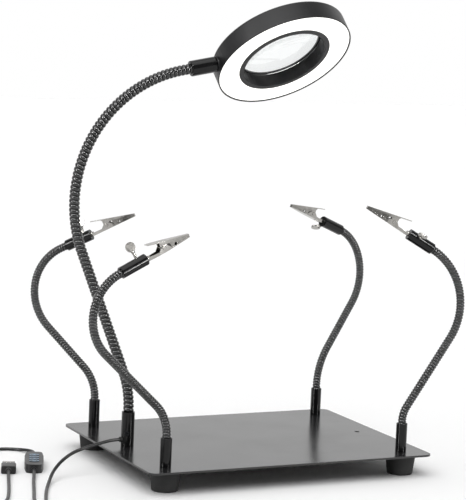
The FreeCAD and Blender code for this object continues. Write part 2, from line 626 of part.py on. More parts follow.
holder, thumb_screw = make_holder(), make_thumb_screw()
lower_jaw, upper_jaw = make_lower_jaw(), make_upper_jaw()
jaw_pin, jaw_spring = make_jaw_pin(), make_jaw_spring()
for name in ARMS:
    mouth = paths[name].frame(size("holder_long"))
    rolled = Placement(Vector(), Rotation(Vector(1, 0, 0), THUMB_ROLL[name]))
    screw_at = Placement(Vector(-size("screw_setback"), 0, 0), Rotation())
    node(placed(holder, f"{name}_Holder", mouth * rolled), f"{name}_clip_holder")
    node(placed(thumb_screw, f"{name}_Thumb", mouth * rolled * screw_at), f"{name}_thumb_screw")
    node(placed(lower_jaw, f"{name}_LowerJaw", mouth), f"{name}_lower_jaw")
    node(placed(upper_jaw, f"{name}_UpperJaw", mouth), f"{name}_upper_jaw")
    node(placed(jaw_pin, f"{name}_Pin", mouth), f"{name}_jaw_pin")
    node(placed(jaw_spring, f"{name}_Spring", mouth), f"{name}_jaw_spring")

# ---------------------------------------------------------------- lamp head
# In the head's own frame x runs along the stem from the holder's rear, y is level and the ring's
# axis is z, with its light side at z = 0 facing down.

RING_AT = "lamp_holder_long + head_gap + boss_reach + ring_radius"


def ring(name, inner, outer, low, high):
    """A flat ring round the lamp's axis, between two radii and two heights."""
    return cut(name, rod(f"{name}Disc", f"2 * ({outer})", f"({high}) - ({low})", at=(RING_AT, "0", low)),
               rod(f"{name}Hole", f"2 * ({inner})", f"({high}) - ({low}) + 2", at=(RING_AT, "0", f"({low}) - 1")))


def make_lamp_holder():
    """Sleeve between the gooseneck and the ring, with a bore for the head's stud."""
    along = Vector(1, 0, 0)
    return cut("LampHolder", rod("LampHolderBar", "lamp_holder", "lamp_holder_long", along),
               rod("LampHolderBore", "stud + fit_play", "stud_long + 2", along,
                   ("lamp_holder_long - stud_long - 1", "0", "0")))


def make_lamp_housing():
    """Ring housing: outer wall, back, inner wall with a lip behind the lens, boss and stud."""
    blank = rod("HousingDisc", "2 * ring_radius", "ring_deep", at=(RING_AT, "0", "-ring_deep / 2"))
    back_edge = rounded("HousingBack", blank, size("ring_edge"),
                        lambda edge: edge.Closed and edge.BoundBox.ZMin > size("ring_deep") / 2 - 0.01)
    along = Vector(1, 0, 0)
    boss = rod("HousingBoss", "lamp_holder", "boss_reach + 6", along, ("lamp_holder_long + head_gap", "0", "0"))
    stud = rod("HousingStud", "stud", "stud_long + head_gap + 1", along,
               ("lamp_holder_long - stud_long", "0", "0"))
    trough = ring("HousingTrough", "window_radius + inner_wall", "ring_radius - ring_wall",
                  "-ring_deep / 2 - 1", "ring_deep / 2 - ring_back")
    window = rod("HousingWindow", "2 * window_radius", "lens_setback + lens_edge + 1",
                 at=(RING_AT, "0", "-ring_deep / 2 - 1"))
    rear = rod("HousingRear", "2 * (window_radius - lens_lip)", "ring_deep + 2", at=(RING_AT, "0", "-ring_deep / 2 - 1"))
    return cut("Housing", fuse("HousingBlank", back_edge, boss, stud), trough, window, rear)


def make_lens():
    """Bi-convex lens whose flat rim rests on the housing's lip."""
    rim, dome = size("window_radius") - size("piece_play"), size("lens_dome")
    dome_edge = size("window_radius") - size("lens_lip") - size("piece_play")
    ball = (dome_edge ** 2 + dome ** 2) / (2 * dome)
    seat = size("lens_setback") - size("ring_deep") / 2
    waist = Part.makeCylinder(dome_edge, size("lens_edge") + 2 * dome, Vector(0, 0, seat - dome))
    high = Part.makeSphere(ball, Vector(0, 0, seat + size("lens_edge") + dome - ball))
    low = Part.makeSphere(ball, Vector(0, 0, seat - dome + ball))
    edge = Part.makeCylinder(rim, size("lens_edge"), Vector(0, 0, seat))
    ring_x = sum(size(word) for word in ("lamp_holder_long", "head_gap", "boss_reach", "ring_radius"))
    whole = waist.common(high).common(low).fuse(edge).removeSplitter()
    return solid("LensShape", whole.translated(Vector(ring_x, 0, 0)))


# The diffuser's front face sits a little inside the rims, and the board on the back wall
diffuser = ring("Diffuser", "window_radius + inner_wall + piece_play", "ring_radius - ring_wall - piece_play",
                "-ring_deep / 2 + diffuser_setback", "-ring_deep / 2 + diffuser_setback + diffuser_thick")
board = ring("Board", "window_radius + inner_wall + board_margin", "ring_radius - ring_wall - board_margin",
             "ring_deep / 2 - ring_back - board_thick", "ring_deep / 2 - ring_back")
holder_at = paths["lamp"].frame(0)
head_at = holder_at * Placement(Vector(), Rotation(Vector(1, 0, 0), size("head_roll")))
node(placed(make_lamp_holder(), "LampHolderPlaced", holder_at), "lamp_holder")
node(placed(make_lamp_housing(), "HousingPlaced", head_at), "lamp_housing")
node(placed(diffuser, "DiffuserPlaced", head_at), "lamp_diffuser")
node(placed(board, "BoardPlaced", head_at), "led_board")
node(placed(make_lens(), "LensPlaced", head_at), "magnifier_lens")

# ---------------------------------------------------------------- controller and plug
# Both lie on the floor: x runs from the plug's side towards the lamp's side, and z = 0 is the floor.

CONTROL_AT = (-211.0, 30.0)
CONTROL_HEADING = 70.0
PLUG_AT = (-244.7, 7.6)
PLUG_HEADING = 70.5
CONTROL_AXIS = "control_base_tall"


def barrel(name, inset, low, high):
    """The controller's barrel-shaped plan as a slab, less an inset, from low to high."""
    half_long, half_wide, waist = (f"control_long / 2 - {inset}", f"control_wide / 2 - {inset}",
                                   f"control_waist / 2 - {inset}")
    points = [(half_long, f"{waist} - control_corner"), (f"{half_long} - control_corner / 3", f"{waist} - 1"),
              (f"{half_long} - control_corner", waist), (f"({half_long}) / 3", half_wide)]
    quarter = points + [(f"-({x})", y) for x, y in reversed(points)]
    sketch = outline(f"{name}Line", quarter + [(x, f"-({y})") for x, y in
                                               [(f"-({x})", y) for x, y in points] + list(reversed(points))])
    piece = slab(name, sketch, f"({high}) - ({low})", symmetric=False)
    piece.setExpression("Placement.Base.z", bound(low))
    return piece


def buttons_at():
    """Where the four buttons stand along the controller."""
    return [f"({count} - 1.5) * button_pitch" for count in range(4)]


def pill(name, along, grow, low, high):
    """An oblong slab across the controller, larger all round by grow."""
    wide = f"(button_wide + 2 * ({grow}))"
    ends = [rod(f"{name}End{count}", wide, f"({high}) - ({low})",
                at=(along, f"{sign} * (button_long - button_wide) / 2", low))
            for count, sign in enumerate((1, -1))]
    middle = feature("Part::Box", f"{name}Middle",
                     (f"{along} - {wide} / 2", "-(button_long - button_wide) / 2", low),
                     Length=wide, Width="button_long - button_wide", Height=f"({high}) - ({low})")
    return fuse(name, middle, *ends)


def collars(name):
    """The cord's collars at both ends of the controller."""
    along = Vector(1, 0, 0)
    return [rod(f"{name}{count}", "collar", "collar_long + 1", along, (start, "0", CONTROL_AXIS))
            for count, start in enumerate(("control_long / 2 - 1", "-control_long / 2 - collar_long"))]


def make_controller_base():
    """Lower shell with the cord's collars."""
    tray = cut("BaseTray", barrel("BaseBlock", "0", "0", "control_base_tall"),
               barrel("BaseHollow", "control_wall", "control_wall", "control_base_tall + 1"))
    below = feature("Part::Box", "CollarBelow", ("-60", "-30", "-30 + control_base_tall"),
                    Length="120", Width="60", Height="30")
    halves = [common(f"BaseCollar{count}", collar, below) for count, collar in enumerate(collars("BaseCollarRod"))]
    return fuse("ControllerBase", tray, *halves)


def make_controller_top():
    """Upper shell with four oblong openings and the upper halves of the collars."""
    lid = cut("TopLid", barrel("TopBlock", "0", "control_base_tall", "control_tall"),
              barrel("TopHollow", "control_wall", "control_base_tall - 1", "control_tall - control_wall"))
    above = feature("Part::Box", "CollarAbove", ("-60", "-30", "control_base_tall"),
                    Length="120", Width="60", Height="30")
    halves = [common(f"TopCollar{count}", collar, above) for count, collar in enumerate(collars("TopCollarRod"))]
    openings = [pill(f"Opening{count}", along, "button_play", "control_base_tall", "control_tall + 1")
                for count, along in enumerate(buttons_at())]
    return cut("ControllerTop", fuse("ControllerTopBlank", lid, *halves), *openings)


def make_button(count, along):
    """One button cap with a flange that keeps it inside the lid."""
    underside = "control_tall - control_wall - button_play / 2"
    cap = pill(f"Cap{count}", along, "0", f"{underside} - button_flange_thick", "control_tall + button_proud")
    flange = pill(f"Flange{count}", along, "button_flange", f"{underside} - button_flange_thick", underside)
    return fuse(f"Button{count}", cap, flange)


def make_plug_body():
    """Moulded grip of the plug with a round neck for the cord."""
    block = feature("Part::Box", "PlugBlock", ("0", "-plug_wide / 2", "0"),
                    Length="plug_long", Width="plug_wide", Height="plug_tall")
    soft = rounded("PlugSoft", block, size("plug_corner"), lambda edge: abs(edge.BoundBox.XLength - size("plug_long")) < 1e-6)
    neck = rod("PlugNeck", "plug_neck", "plug_neck_long + 1", Vector(1, 0, 0), ("-plug_neck_long", "0", "plug_tall / 2"))
    return fuse("PlugBody", soft, neck)


def make_plug_shell():
    """Folded steel shell of the plug with two square windows above and below."""
    blank = feature("Part::Box", "ShellBlank", ("plug_long", "-shell_wide / 2", "plug_tall / 2 - shell_tall / 2"),
                    Length="shell_long", Width="shell_wide", Height="shell_tall")
    mouth = feature("Part::Box", "ShellMouth",
                    ("plug_long + shell_wall", "-shell_wide / 2 + shell_wall", "plug_tall / 2 - shell_tall / 2 + shell_wall"),
                    Length="shell_long", Width="shell_wide - 2 * shell_wall", Height="shell_tall - 2 * shell_wall")
    windows = [feature("Part::Box", f"ShellWindow{count}",
                       ("plug_long + shell_long / 2 - shell_window / 2",
                        f"{side} * shell_window_spread / 2 - shell_window / 2", "0"),
                       Length="shell_window", Width="shell_window", Height="plug_tall")
               for count, side in enumerate((-1, 1))]
    return cut("PlugShell", blank, mouth, *windows)


def lying(spot, heading):
    """Placement on the floor at a spot, turned to a heading."""
    return Placement(Vector(spot[0], spot[1], FLOOR), Rotation(Vector(0, 0, 1), heading))


control_at, plug_at = lying(CONTROL_AT, CONTROL_HEADING), lying(PLUG_AT, PLUG_HEADING)
node(placed(make_controller_base(), "ControllerBasePlaced", control_at), "controller_base")
node(placed(make_controller_top(), "ControllerTopPlaced", control_at), "controller_top")
for count, along in enumerate(buttons_at()):
    node(placed(make_button(count, along), f"ButtonPlaced{count}", control_at), f"button_{count + 1}")
node(placed(make_plug_body(), "PlugBodyPlaced", plug_at), "plug_body")
node(placed(make_plug_shell(), "PlugShellPlaced", plug_at), "plug_shell")

# ---------------------------------------------------------------- cord

COIL_AT = (-288.6, -164.8)
# The cord's route as (x, y, z): from the lamp's post to the coil, from the coil round to the
# controller's far end, and from the controller's near end to the plug
TO_COIL = [
    (-133.3, 0, 7), (-143, 0, 7), (-157, -3.5, 5.2), (-172, -7.5, 3.2), (-187, -10, -0.4),
    (-201, -15.5, -7), (-213, -26, -14), (-222.5, -42, -19.4), (-231.6, -61, CORD_LIES),
    (-240.6, -83, CORD_LIES), (-249.6, -108, CORD_LIES), (-257.6, -133, CORD_LIES),
    (-263.6, -154, CORD_LIES), (-267.6, -170, CORD_LIES),
]
TO_CONTROLLER = [
    (-308.6, -164.8, -17.6), (-308.2, -152, -18.8), (-306.5, -136, CORD_LIES), (-302.5, -112, CORD_LIES),
    (-296, -80, CORD_LIES), (-286.5, -42, CORD_LIES), (-275.5, -2, CORD_LIES), (-263, 38, CORD_LIES),
    (-252, 70, CORD_LIES), (-241.7, 95, CORD_LIES), (-222.2, 106, CORD_LIES), (-202.5, 98.5, CORD_LIES),
    (-193.9, 77, -18), (-200.72, 58.24, -18),
]
TO_PLUG = [
    (-221.28, 1.76, -18), (-226.4, -12.3, -18), (-233.5, -31, CORD_LIES), (-242, -55, CORD_LIES),
    (-250.2, -78, CORD_LIES), (-256.4, -95, CORD_LIES), (-259, -111, CORD_LIES), (-262.9, -127.8, CORD_LIES),
    (-275, -133.6, CORD_LIES), (-287.6, -129.1, CORD_LIES), (-293.4, -116.9, CORD_LIES),
    (-286.1, -101, CORD_LIES), (-276.6, -83, CORD_LIES), (-267.4, -58.5, CORD_LIES),
    (-258.6, -33, CORD_LIES), (-251.1, -10.4, -18), (-245.9, 4.2, -18),
]


def cord_tube(name, points):
    """The cord's tube through route points: straight runs joined by arcs as large as the runs allow."""
    corners = [Vector(*point) for point in points]
    edges, start, radii = [], corners[0], []
    for before, corner, after in zip(corners, corners[1:], corners[2:]):
        come, leave = corner - before, after - corner
        turn = come.getAngle(leave)
        back = 0.45 * min(come.Length, leave.Length)
        radii.append(back / math.tan(turn / 2))
        first, last = corner - come.normalize() * back, corner + leave.normalize() * back
        middle = (last - corner).normalize() + (first - corner).normalize()
        centre = corner + middle.normalize() * (radii[-1] / math.cos(turn / 2))
        edges.append(Part.LineSegment(start, first).toShape())
        edges.append(Part.Arc(first, centre + (corner - centre).normalize() * radii[-1], last).toShape())
        start = last
    edges.append(Part.LineSegment(start, corners[-1]).toShape())
    path = Part.Wire(edges)
    heading = corners[1] - corners[0]
    ring_wire = Part.Wire(Part.Circle(corners[0], heading, size("cord") / 2).toShape())
    shape = path.makePipeShell([ring_wire], True, True)
    expected = math.pi * size("cord") ** 2 / 4 * path.Length
    print(f"{name}: {path.Length:.0f} mm, volume {shape.Volume / expected:.4f} of section times length, "
          f"radii {min(radii):.0f} to {max(radii):.0f} mm, lowest {shape.BoundBox.ZMin:.2f}")
    return solid(name, shape)


def make_coil():
    """The put-away turns as one closed ring lying on the floor."""
    outer = rod("CoilOuter", "2 * coil_radius + coil_ring", "coil_tall")
    hole = rod("CoilHole", "2 * coil_radius - coil_ring", "coil_tall + 2", at=("0", "0", "-1"))
    return cut("Coil", outer, hole)


node(cord_tube("CordToCoil", TO_COIL), "cord_to_coil")
node(cord_tube("CordToController", TO_CONTROLLER), "cord_to_controller")
node(cord_tube("CordToPlug", TO_PLUG), "cord_to_plug")
node(placed(make_coil(), "CoilPlaced", lying(COIL_AT, 0)), "cord_coil")

# ---------------------------------------------------------------- checks and files

doc.recompute()
for piece in doc.Objects:
    if "Invalid" in piece.State or "Error" in piece.State:
        raise ValueError(f"{piece.Name} did not compute: {piece.State}")
for piece in nodes:
    if piece.Shape.isNull() or not piece.Shape.isValid():
        raise ValueError(f"{piece.Label} has no valid shape")
os.makedirs("parts", exist_ok=True)
for piece in nodes:
    piece.Shape.exportStep(f"parts/{piece.Label}.step")
print(f"{len(nodes)} nodes written")
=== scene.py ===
"""Looks of the four-arm soldering helper with its ring-lit magnifier.

Each sub-assembly is a class that holds its own sizes in millimetres. The frame gives the bodies
and nodes that the pieces ride on and stand for.
"""
import json
import logging
import math
from dataclasses import dataclass
from enum import Enum
from typing import Any, Iterable

import bmesh
import bpy
from mathutils import Matrix, Vector


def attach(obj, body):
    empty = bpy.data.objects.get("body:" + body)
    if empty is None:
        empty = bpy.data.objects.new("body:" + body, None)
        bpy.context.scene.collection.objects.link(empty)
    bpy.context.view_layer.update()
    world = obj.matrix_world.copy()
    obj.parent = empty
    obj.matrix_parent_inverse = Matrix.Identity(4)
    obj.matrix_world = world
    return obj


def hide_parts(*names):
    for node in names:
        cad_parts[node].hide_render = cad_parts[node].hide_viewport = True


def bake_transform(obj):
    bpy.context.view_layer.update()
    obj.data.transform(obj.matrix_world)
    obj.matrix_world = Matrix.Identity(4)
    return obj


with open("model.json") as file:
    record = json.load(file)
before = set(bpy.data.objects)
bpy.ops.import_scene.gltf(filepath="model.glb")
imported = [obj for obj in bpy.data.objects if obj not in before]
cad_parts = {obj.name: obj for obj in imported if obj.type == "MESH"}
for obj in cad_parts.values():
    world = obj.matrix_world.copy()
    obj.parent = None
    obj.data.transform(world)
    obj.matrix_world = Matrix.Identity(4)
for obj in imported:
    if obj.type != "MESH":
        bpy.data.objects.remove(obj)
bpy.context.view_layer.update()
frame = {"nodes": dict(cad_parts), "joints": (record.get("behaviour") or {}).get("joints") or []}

FLOOR = -22.0  # the workbench, mm
LOG = logging.getLogger("soldering_helper")
CREASE = 32.0  # edges sharper than this many degrees are rounded or stay sharp
WELD = 1e-6  # vertices nearer than this are one, m
CAD_WELD = 2e-6  # the same for a tessellated CAD node, m
NOUGHT = 1e-7  # lengths below this are nought, m
FULL_TURN = math.tau - 1e-4  # an angle past this is a rounded nought
FLAT = 0.6  # CAD faces that meet at less than this many degrees are merged
COAT_ROUGHNESS = 0.08
LEAST_ROUGHNESS = 0.02
GROOVE_ROUGHER = 0.4  # added roughness at the bottom of a wound tube's grooves
STREAKS = (1.0, 1.0, 0.08)  # noise scale that draws relief out along z
MIX_A, MIX_B = 6, 7  # a Mix node's two colour sockets
Point = tuple[float, float, float]
ARMS = ("rear_left", "front_left", "rear_right", "front_right")


# ---------------------------------------------------------------- small helpers

def mm(*numbers: float) -> Vector:
    """A point given in millimetres, in metres."""
    return Vector(numbers) / 1000


def only(items: Iterable[Any], kind: type) -> list[Any]:
    """Picks the items of one kind, such as the vertices among a bmesh operator's results.

    Args:
        items: what to pick from.
        kind: the type that is wanted.

    Returns:
        The items of that type, in order.
    """
    return [item for item in items if isinstance(item, kind)]


def shown(name: str, data: bpy.types.ID) -> bpy.types.Object:
    """Makes an object of some data and links it to the scene.

    Args:
        name: the object's name.
        data: its mesh, curve, light or camera.

    Returns:
        The new object.
    """
    made = bpy.data.objects.new(name, data)
    bpy.context.scene.collection.objects.link(made)
    return made


def on_floor(place: tuple[float, float], heading: float) -> Matrix:
    """The placement, in metres, of a thing that lies on the floor.

    Args:
        place: where its origin lies, mm.
        heading: which way its x points, degrees.

    Returns:
        The placement.
    """
    return Matrix.Translation(mm(*place, FLOOR)) @ Matrix.Rotation(math.radians(heading), 4, "Z")


def linear(code: str) -> tuple[float, float, float, float]:
    """Turns an sRGB hex colour to linear red, green, blue and alpha.

    Args:
        code: six hex digits.

    Returns:
        The linear colour with an alpha of 1.
    """
    parts = [int(code[i:i + 2], 16) / 255 for i in (0, 2, 4)]
    return (*[p / 12.92 if p <= 0.04045 else ((p + 0.055) / 1.055) ** 2.4 for p in parts], 1.0)


def add_node(tree: bpy.types.NodeTree, kind: str, settings: dict[str, Any] | None = None,
             links: dict[str | int, bpy.types.NodeSocket] | None = None) -> bpy.types.Node:
    """Adds one shader node.

    Args:
        tree: the material's node tree.
        kind: the node's type name, without its "ShaderNode" prefix.
        settings: socket values by socket name, or node properties by property name.
        links: sources by the name or number of the socket they feed.

    Returns:
        The new node.
    """
    node = tree.nodes.new("ShaderNode" + kind)
    for key, value in (settings or {}).items():
        if key in node.inputs:
            node.inputs[key].default_value = value
        else:
            setattr(node, key, value)
    for key, source in (links or {}).items():
        tree.links.new(source, node.inputs[key])
    return node


# ---------------------------------------------------------------- finishes

class Grain(Enum):
    """How a finish's fine relief is laid out."""
    PEBBLE = "pebble"
    STREAK = "streak"


class Dressing:
    """Something that a piece can be made of."""
    name: str

    def material(self) -> bpy.types.Material:
        """Makes the material once and returns it."""
        made = bpy.data.materials.get(self.name)
        if not made:
            made = bpy.data.materials.new(self.name)
            made.use_nodes = True
            self.fill(made.node_tree, made.node_tree.nodes["Principled BSDF"])
        return made

    def fill(self, tree: bpy.types.NodeTree, shader: bpy.types.Node) -> None:
        """Sets up the new material.

        Args:
            tree: its node tree.
            shader: its principled shader.
        """
        raise NotImplementedError


@dataclass(frozen=True)
class Finish(Dressing):
    """One real finish. Sizes are in millimetres."""
    name: str
    colour: str
    roughness: float
    metallic: float = 0.0
    ior: float = 1.5
    second: str = ""        # a colour that the first one drifts towards
    drift: float = 0.3      # how far it drifts
    cloud: float = 14.0     # size of the drift's patches
    rough_drift: float = 0.05
    grain: Grain = Grain.PEBBLE
    grain_size: float = 0.6
    grain_deep: float = 0.01
    coat: float = 0.0
    sheen: float = 0.5      # specular level of a finish that isn't bare metal
    # On a wound tube the grooves take the second colour: painted shade
    crest: bool = False     # follows the crest attribute of a wound tube

    def fill(self, tree: bpy.types.NodeTree, shader: bpy.types.Node) -> None:
        """Sets the shader and adds colour drift, roughness drift and relief; on a wound tube, colour and
        roughness follow the crests instead, with painted shade darkening the grooves.

        Args:
            tree: the material's node tree.
            shader: its principled shader.
        """
        shader.inputs["Metallic"].default_value = self.metallic
        if not self.metallic:
            shader.inputs["IOR"].default_value = self.ior
            shader.inputs["Specular IOR Level"].default_value = self.sheen
        if self.coat:
            shader.inputs["Coat Weight"].default_value = self.coat
            shader.inputs["Coat Roughness"].default_value = COAT_ROUGHNESS
        place = add_node(tree, "TexCoord").outputs["Object"]
        if self.crest:
            share = add_node(tree, "Attribute", {"attribute_name": "crest"}).outputs["Fac"]
            # Painted shade: the grooves take the darker second colour
            colours = self.second, self.colour
            rough = add_node(tree, "MapRange", {"To Min": min(1.0, self.roughness + GROOVE_ROUGHER),
                                                "To Max": self.roughness}, {"Value": share})
        else:
            cloud = add_node(tree, "TexNoise", {"Scale": 1000 / self.cloud, "Detail": 4.0},
                             {"Vector": place}).outputs["Fac"]
            share = add_node(tree, "MapRange", {"From Min": 0.35, "From Max": 0.65, "To Max": self.drift},
                             {"Value": cloud}).outputs[0]
            colours = self.colour, self.second or self.colour
            smoothest = max(LEAST_ROUGHNESS, self.roughness - self.rough_drift)
            rough = add_node(tree, "MapRange", {"From Min": 0.3, "From Max": 0.7, "To Min": smoothest,
                                                "To Max": self.roughness + self.rough_drift},
                             {"Value": cloud})
        tint = add_node(tree, "Mix", {"data_type": "RGBA"}, {0: share})
        tint.inputs[MIX_A].default_value, tint.inputs[MIX_B].default_value = map(linear, colours)
        tree.links.new(tint.outputs[2], shader.inputs["Base Color"])
        tree.links.new(rough.outputs[0], shader.inputs["Roughness"])
        stretch = STREAKS if self.grain is Grain.STREAK else (1.0, 1.0, 1.0)
        spread = add_node(tree, "Mapping", {"Scale": stretch}, {"Vector": place})
        relief = add_node(tree, "TexNoise", {"Scale": 1000 / self.grain_size, "Detail": 3.0},
                          {"Vector": spread.outputs[0]})
        bump = add_node(tree, "Bump", {"Strength": 1.0, "Distance": self.grain_deep / 1000},
                        {"Height": relief.outputs["Fac"]})
        tree.links.new(bump.outputs[0], shader.inputs["Normal"])


# Steel plate with satin black powder coat: a faint orange-peel relief that softens reflections
POWDER_COAT = Finish("satin_black_powder_coat", "1b1b1c", 0.2, second="212123", cloud=60, grain_size=0.9,
                     grain_deep=0.003, rough_drift=0.03, ior=1.6)
# Turned steel with gloss black baked enamel: smooth, with long narrow highlights
GLOSS_ENAMEL = Finish("gloss_black_enamel_on_steel", "080809", 0.16, second="101011", grain_size=2.0,
                      grain_deep=0.002, sheen=0.3)
# Wound steel gooseneck, black oxide under lacquer: sharp glints on the crests, rougher grooves whose darker
# colour is painted shade
WOUND_STEEL = Finish("black_lacquered_wound_steel", "121213", 0.13, second="030303", ior=1.6,
                     grain_size=1.2, grain_deep=0.002, coat=0.25, crest=True)
# Moulded natural rubber: matte, with a fine mould texture and a little bloom
RUBBER = Finish("moulded_black_rubber", "151515", 0.78, second="1f1f1e", drift=0.5, grain_size=0.5,
                grain_deep=0.02)
# Zinc-plated machine screw: greyish and slightly cloudy
ZINC = Finish("zinc_plated_steel", "a9abad", 0.34, metallic=1.0, second="8f9296", cloud=3, grain_size=0.4,
              grain_deep=0.003)
# Black-oxide set screw: dark, oily sheen
BLACK_OXIDE = Finish("black_oxide_steel", "2b2c2e", 0.4, metallic=1.0, second="1d1e20", cloud=2,
                     grain_size=0.3, grain_deep=0.003)
# Pressed steel with bright nickel: mirror-like, with faint rolling marks and a warm tint
BRIGHT_NICKEL = Finish("bright_nickel_plated_steel", "a5a39f", 0.15, metallic=1.0, second="807e7a", cloud=5,
                       grain=Grain.STREAK, grain_size=0.5, grain_deep=0.003)
# Drawn spring wire: bright with fine draw lines
SPRING_WIRE = Finish("drawn_spring_wire", "8d8c89", 0.3, metallic=1.0, second="6f6e69", cloud=1.5,
                     grain_size=0.2, grain_deep=0.003)
# Moulded ABS lamp shell with a fine spark-eroded texture
MOULDED_ABS = Finish("spark_textured_black_abs", "131315", 0.42, sheen=0.35, second="1c1c1e", cloud=30,
                     grain_size=0.5, grain_deep=0.012)
# White solder mask on the hidden board
SOLDER_MASK = Finish("white_solder_mask", "e9e9e4", 0.35, second="dcdcd6", cloud=6, grain_size=0.5,
                     grain_deep=0.004)
# Soft PVC cord sheath: satin, faintly wavy
PVC_SHEATH = Finish("satin_black_pvc_sheath", "111112", 0.38, second="1a1a1a", cloud=9, grain_size=1.6,
                    grain_deep=0.012)
# Moulded ABS controller case with a slightly glossier finish
CASE_ABS = Finish("fine_textured_black_abs", "161617", 0.4, second="1e1e20", cloud=12, grain_size=0.35,
                  grain_deep=0.008)
# Silicone button caps under a dark film
BUTTON_FILM = Finish("dark_blue_grey_button_film", "1b2128", 0.32, second="20272f", cloud=4, grain_size=0.4,
                     grain_deep=0.004)
# Screen-printed pale ink on the buttons
PALE_INK = Finish("pale_blue_screen_ink", "8fb3cf", 0.5, second="a5c2d8", cloud=1.5, grain_size=0.2,
                  grain_deep=0.004)
# Moulded contact tongue inside the plug
NYLON_TONGUE = Finish("black_glass_filled_nylon", "202124", 0.45, second="26272b", cloud=3, grain_size=0.3,
                      grain_deep=0.005)
# Gold-flashed contacts
GOLD_FLASH = Finish("gold_flashed_contact", "d8b465", 0.24, metallic=1.0, second="c7a251", cloud=2,
                    grain_size=0.3, grain_deep=0.002)


@dataclass(frozen=True)
class LitDiffuser(Dressing):
    """Frosted acrylic ring with the lamp's light behind it."""
    name: str = "lit_frosted_acrylic"
    colour: str = "f6f6f2"
    light: str = "fffefa"
    glow: float = 1.1
    roughness: float = 0.42
    ior: float = 1.49
    frost: float = 0.8        # size of the moulded frosting, mm
    frost_deep: float = 0.01  # its depth, mm

    def fill(self, tree: bpy.types.NodeTree, shader: bpy.types.Node) -> None:
        """Sets the shader and adds the frosting.

        Args:
            tree: the material's node tree.
            shader: its principled shader.
        """
        shader.inputs["Base Color"].default_value = linear(self.colour)
        shader.inputs["Roughness"].default_value = self.roughness
        shader.inputs["IOR"].default_value = self.ior
        shader.inputs["Emission Color"].default_value = linear(self.light)
        shader.inputs["Emission Strength"].default_value = self.glow
        place = add_node(tree, "TexCoord").outputs["Object"]
        frost = add_node(tree, "TexNoise", {"Scale": 1000 / self.frost, "Detail": 2.0}, {"Vector": place})
        bump = add_node(tree, "Bump", {"Strength": 1.0, "Distance": self.frost_deep / 1000},
                        {"Height": frost.outputs["Fac"]})
        tree.links.new(bump.outputs[0], shader.inputs["Normal"])


@dataclass(frozen=True)
class PolishedLens(Dressing):
    """Optical acrylic, polished on both faces, with a trace of haze in patches."""
    name: str = "polished_optical_acrylic"
    colour: str = "fbfdfd"
    ior: float = 1.49
    haze_scale: float = 60.0
    haziest: float = 0.03

    def fill(self, tree: bpy.types.NodeTree, shader: bpy.types.Node) -> None:
        """Sets the shader and adds the haze.

        Args:
            tree: the material's node tree.
            shader: its principled shader.
        """
        shader.inputs["Base Color"].default_value = linear(self.colour)
        shader.inputs["Transmission Weight"].default_value = 1.0
        shader.inputs["IOR"].default_value = self.ior
        place = add_node(tree, "TexCoord").outputs["Object"]
        haze = add_node(tree, "TexNoise", {"Scale": self.haze_scale, "Detail": 3.0}, {"Vector": place})
        rough = add_node(tree, "MapRange", {"From Min": 0.4, "From Max": 0.8, "To Min": 0.0,
                                            "To Max": self.haziest}, {"Value": haze.outputs["Fac"]})
        tree.links.new(rough.outputs[0], shader.inputs["Roughness"])


@dataclass(frozen=True)
class MattPaper(Dressing):
    """Matt white paper under the object."""
    name: str = "matt_white_paper"
    colour: str = "fbfbfb"
    roughness: float = 0.9
    sheen: float = 0.1

    def fill(self, tree: bpy.types.NodeTree, shader: bpy.types.Node) -> None:
        """Sets the shader.

        Args:
            tree: the material's node tree.
            shader: its principled shader.
        """
        shader.inputs["Base Color"].default_value = linear(self.colour)
        shader.inputs["Roughness"].default_value = self.roughness
        shader.inputs["Specular IOR Level"].default_value = self.sheen


# ---------------------------------------------------------------- making pieces

def piece(name: str, mesh: bpy.types.Mesh, finish: Dressing) -> bpy.types.Object:
    """Puts a finished mesh in the scene.

    Args:
        name: the piece's name.
        mesh: its mesh, in the row frame.
        finish: what it is made of.

    Returns:
        The new object, at the origin.
    """
    made = shown(name, mesh)
    mesh.materials.clear()
    mesh.materials.append(finish.material())
    return made


def finished(bm: bmesh.types.BMesh, name: str, crease: float = CREASE) -> bpy.types.Mesh:
    """Turns a bmesh into a mesh with outward faces, smooth up to a crease angle.

    Args:
        bm: the bmesh, which is freed.
        name: the mesh's name.
        crease: edges sharper than this many degrees stay sharp.

    Returns:
        The new mesh.
    """
    bmesh.ops.recalc_face_normals(bm, faces=bm.faces)
    for face in bm.faces:
        face.smooth = True
    mesh = bpy.data.meshes.new(name)
    bm.to_mesh(mesh)
    bm.free()
    mesh.set_sharp_from_angle(angle=math.radians(crease))
    return mesh


def softened(node: str, body: str, finish: Dressing, width: float,
             segments: int = 2) -> bpy.types.Object:
    """Stands a copy with rounded edges in for a CAD node.

    Args:
        node: the CAD node.
        body: the body that it rides on.
        finish: what it is made of.
        width: width of the rounding, mm.
        segments: steps across the rounding.

    Returns:
        The new piece.
    """
    bm = bmesh.new()
    bm.from_mesh(frame["nodes"][node].data)
    bmesh.ops.remove_doubles(bm, verts=bm.verts, dist=CAD_WELD)
    bmesh.ops.dissolve_limit(bm, angle_limit=math.radians(FLAT), verts=bm.verts, edges=bm.edges)
    made = piece(f"{node}_skin", finished(bm, node), finish)
    edge = made.modifiers.new("edge rounding", "BEVEL")
    edge.width = width / 1000
    edge.segments = segments
    edge.limit_method = "ANGLE"
    edge.angle_limit = math.radians(CREASE)
    edge.harden_normals = True
    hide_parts(node)
    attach(made, body)
    return made


def dress(node: str, finish: Dressing) -> None:
    """Gives a CAD node that keeps its shape a better finish.

    Args:
        node: the CAD node.
        finish: what it is made of.
    """
    mesh = frame["nodes"][node].data
    mesh.materials.clear()
    mesh.materials.append(finish.material())


def joint(name: str) -> dict[str, Any]:
    """The record's joint of that name."""
    return next(j for j in frame["joints"] if j["name"] == name)


# ---------------------------------------------------------------- base

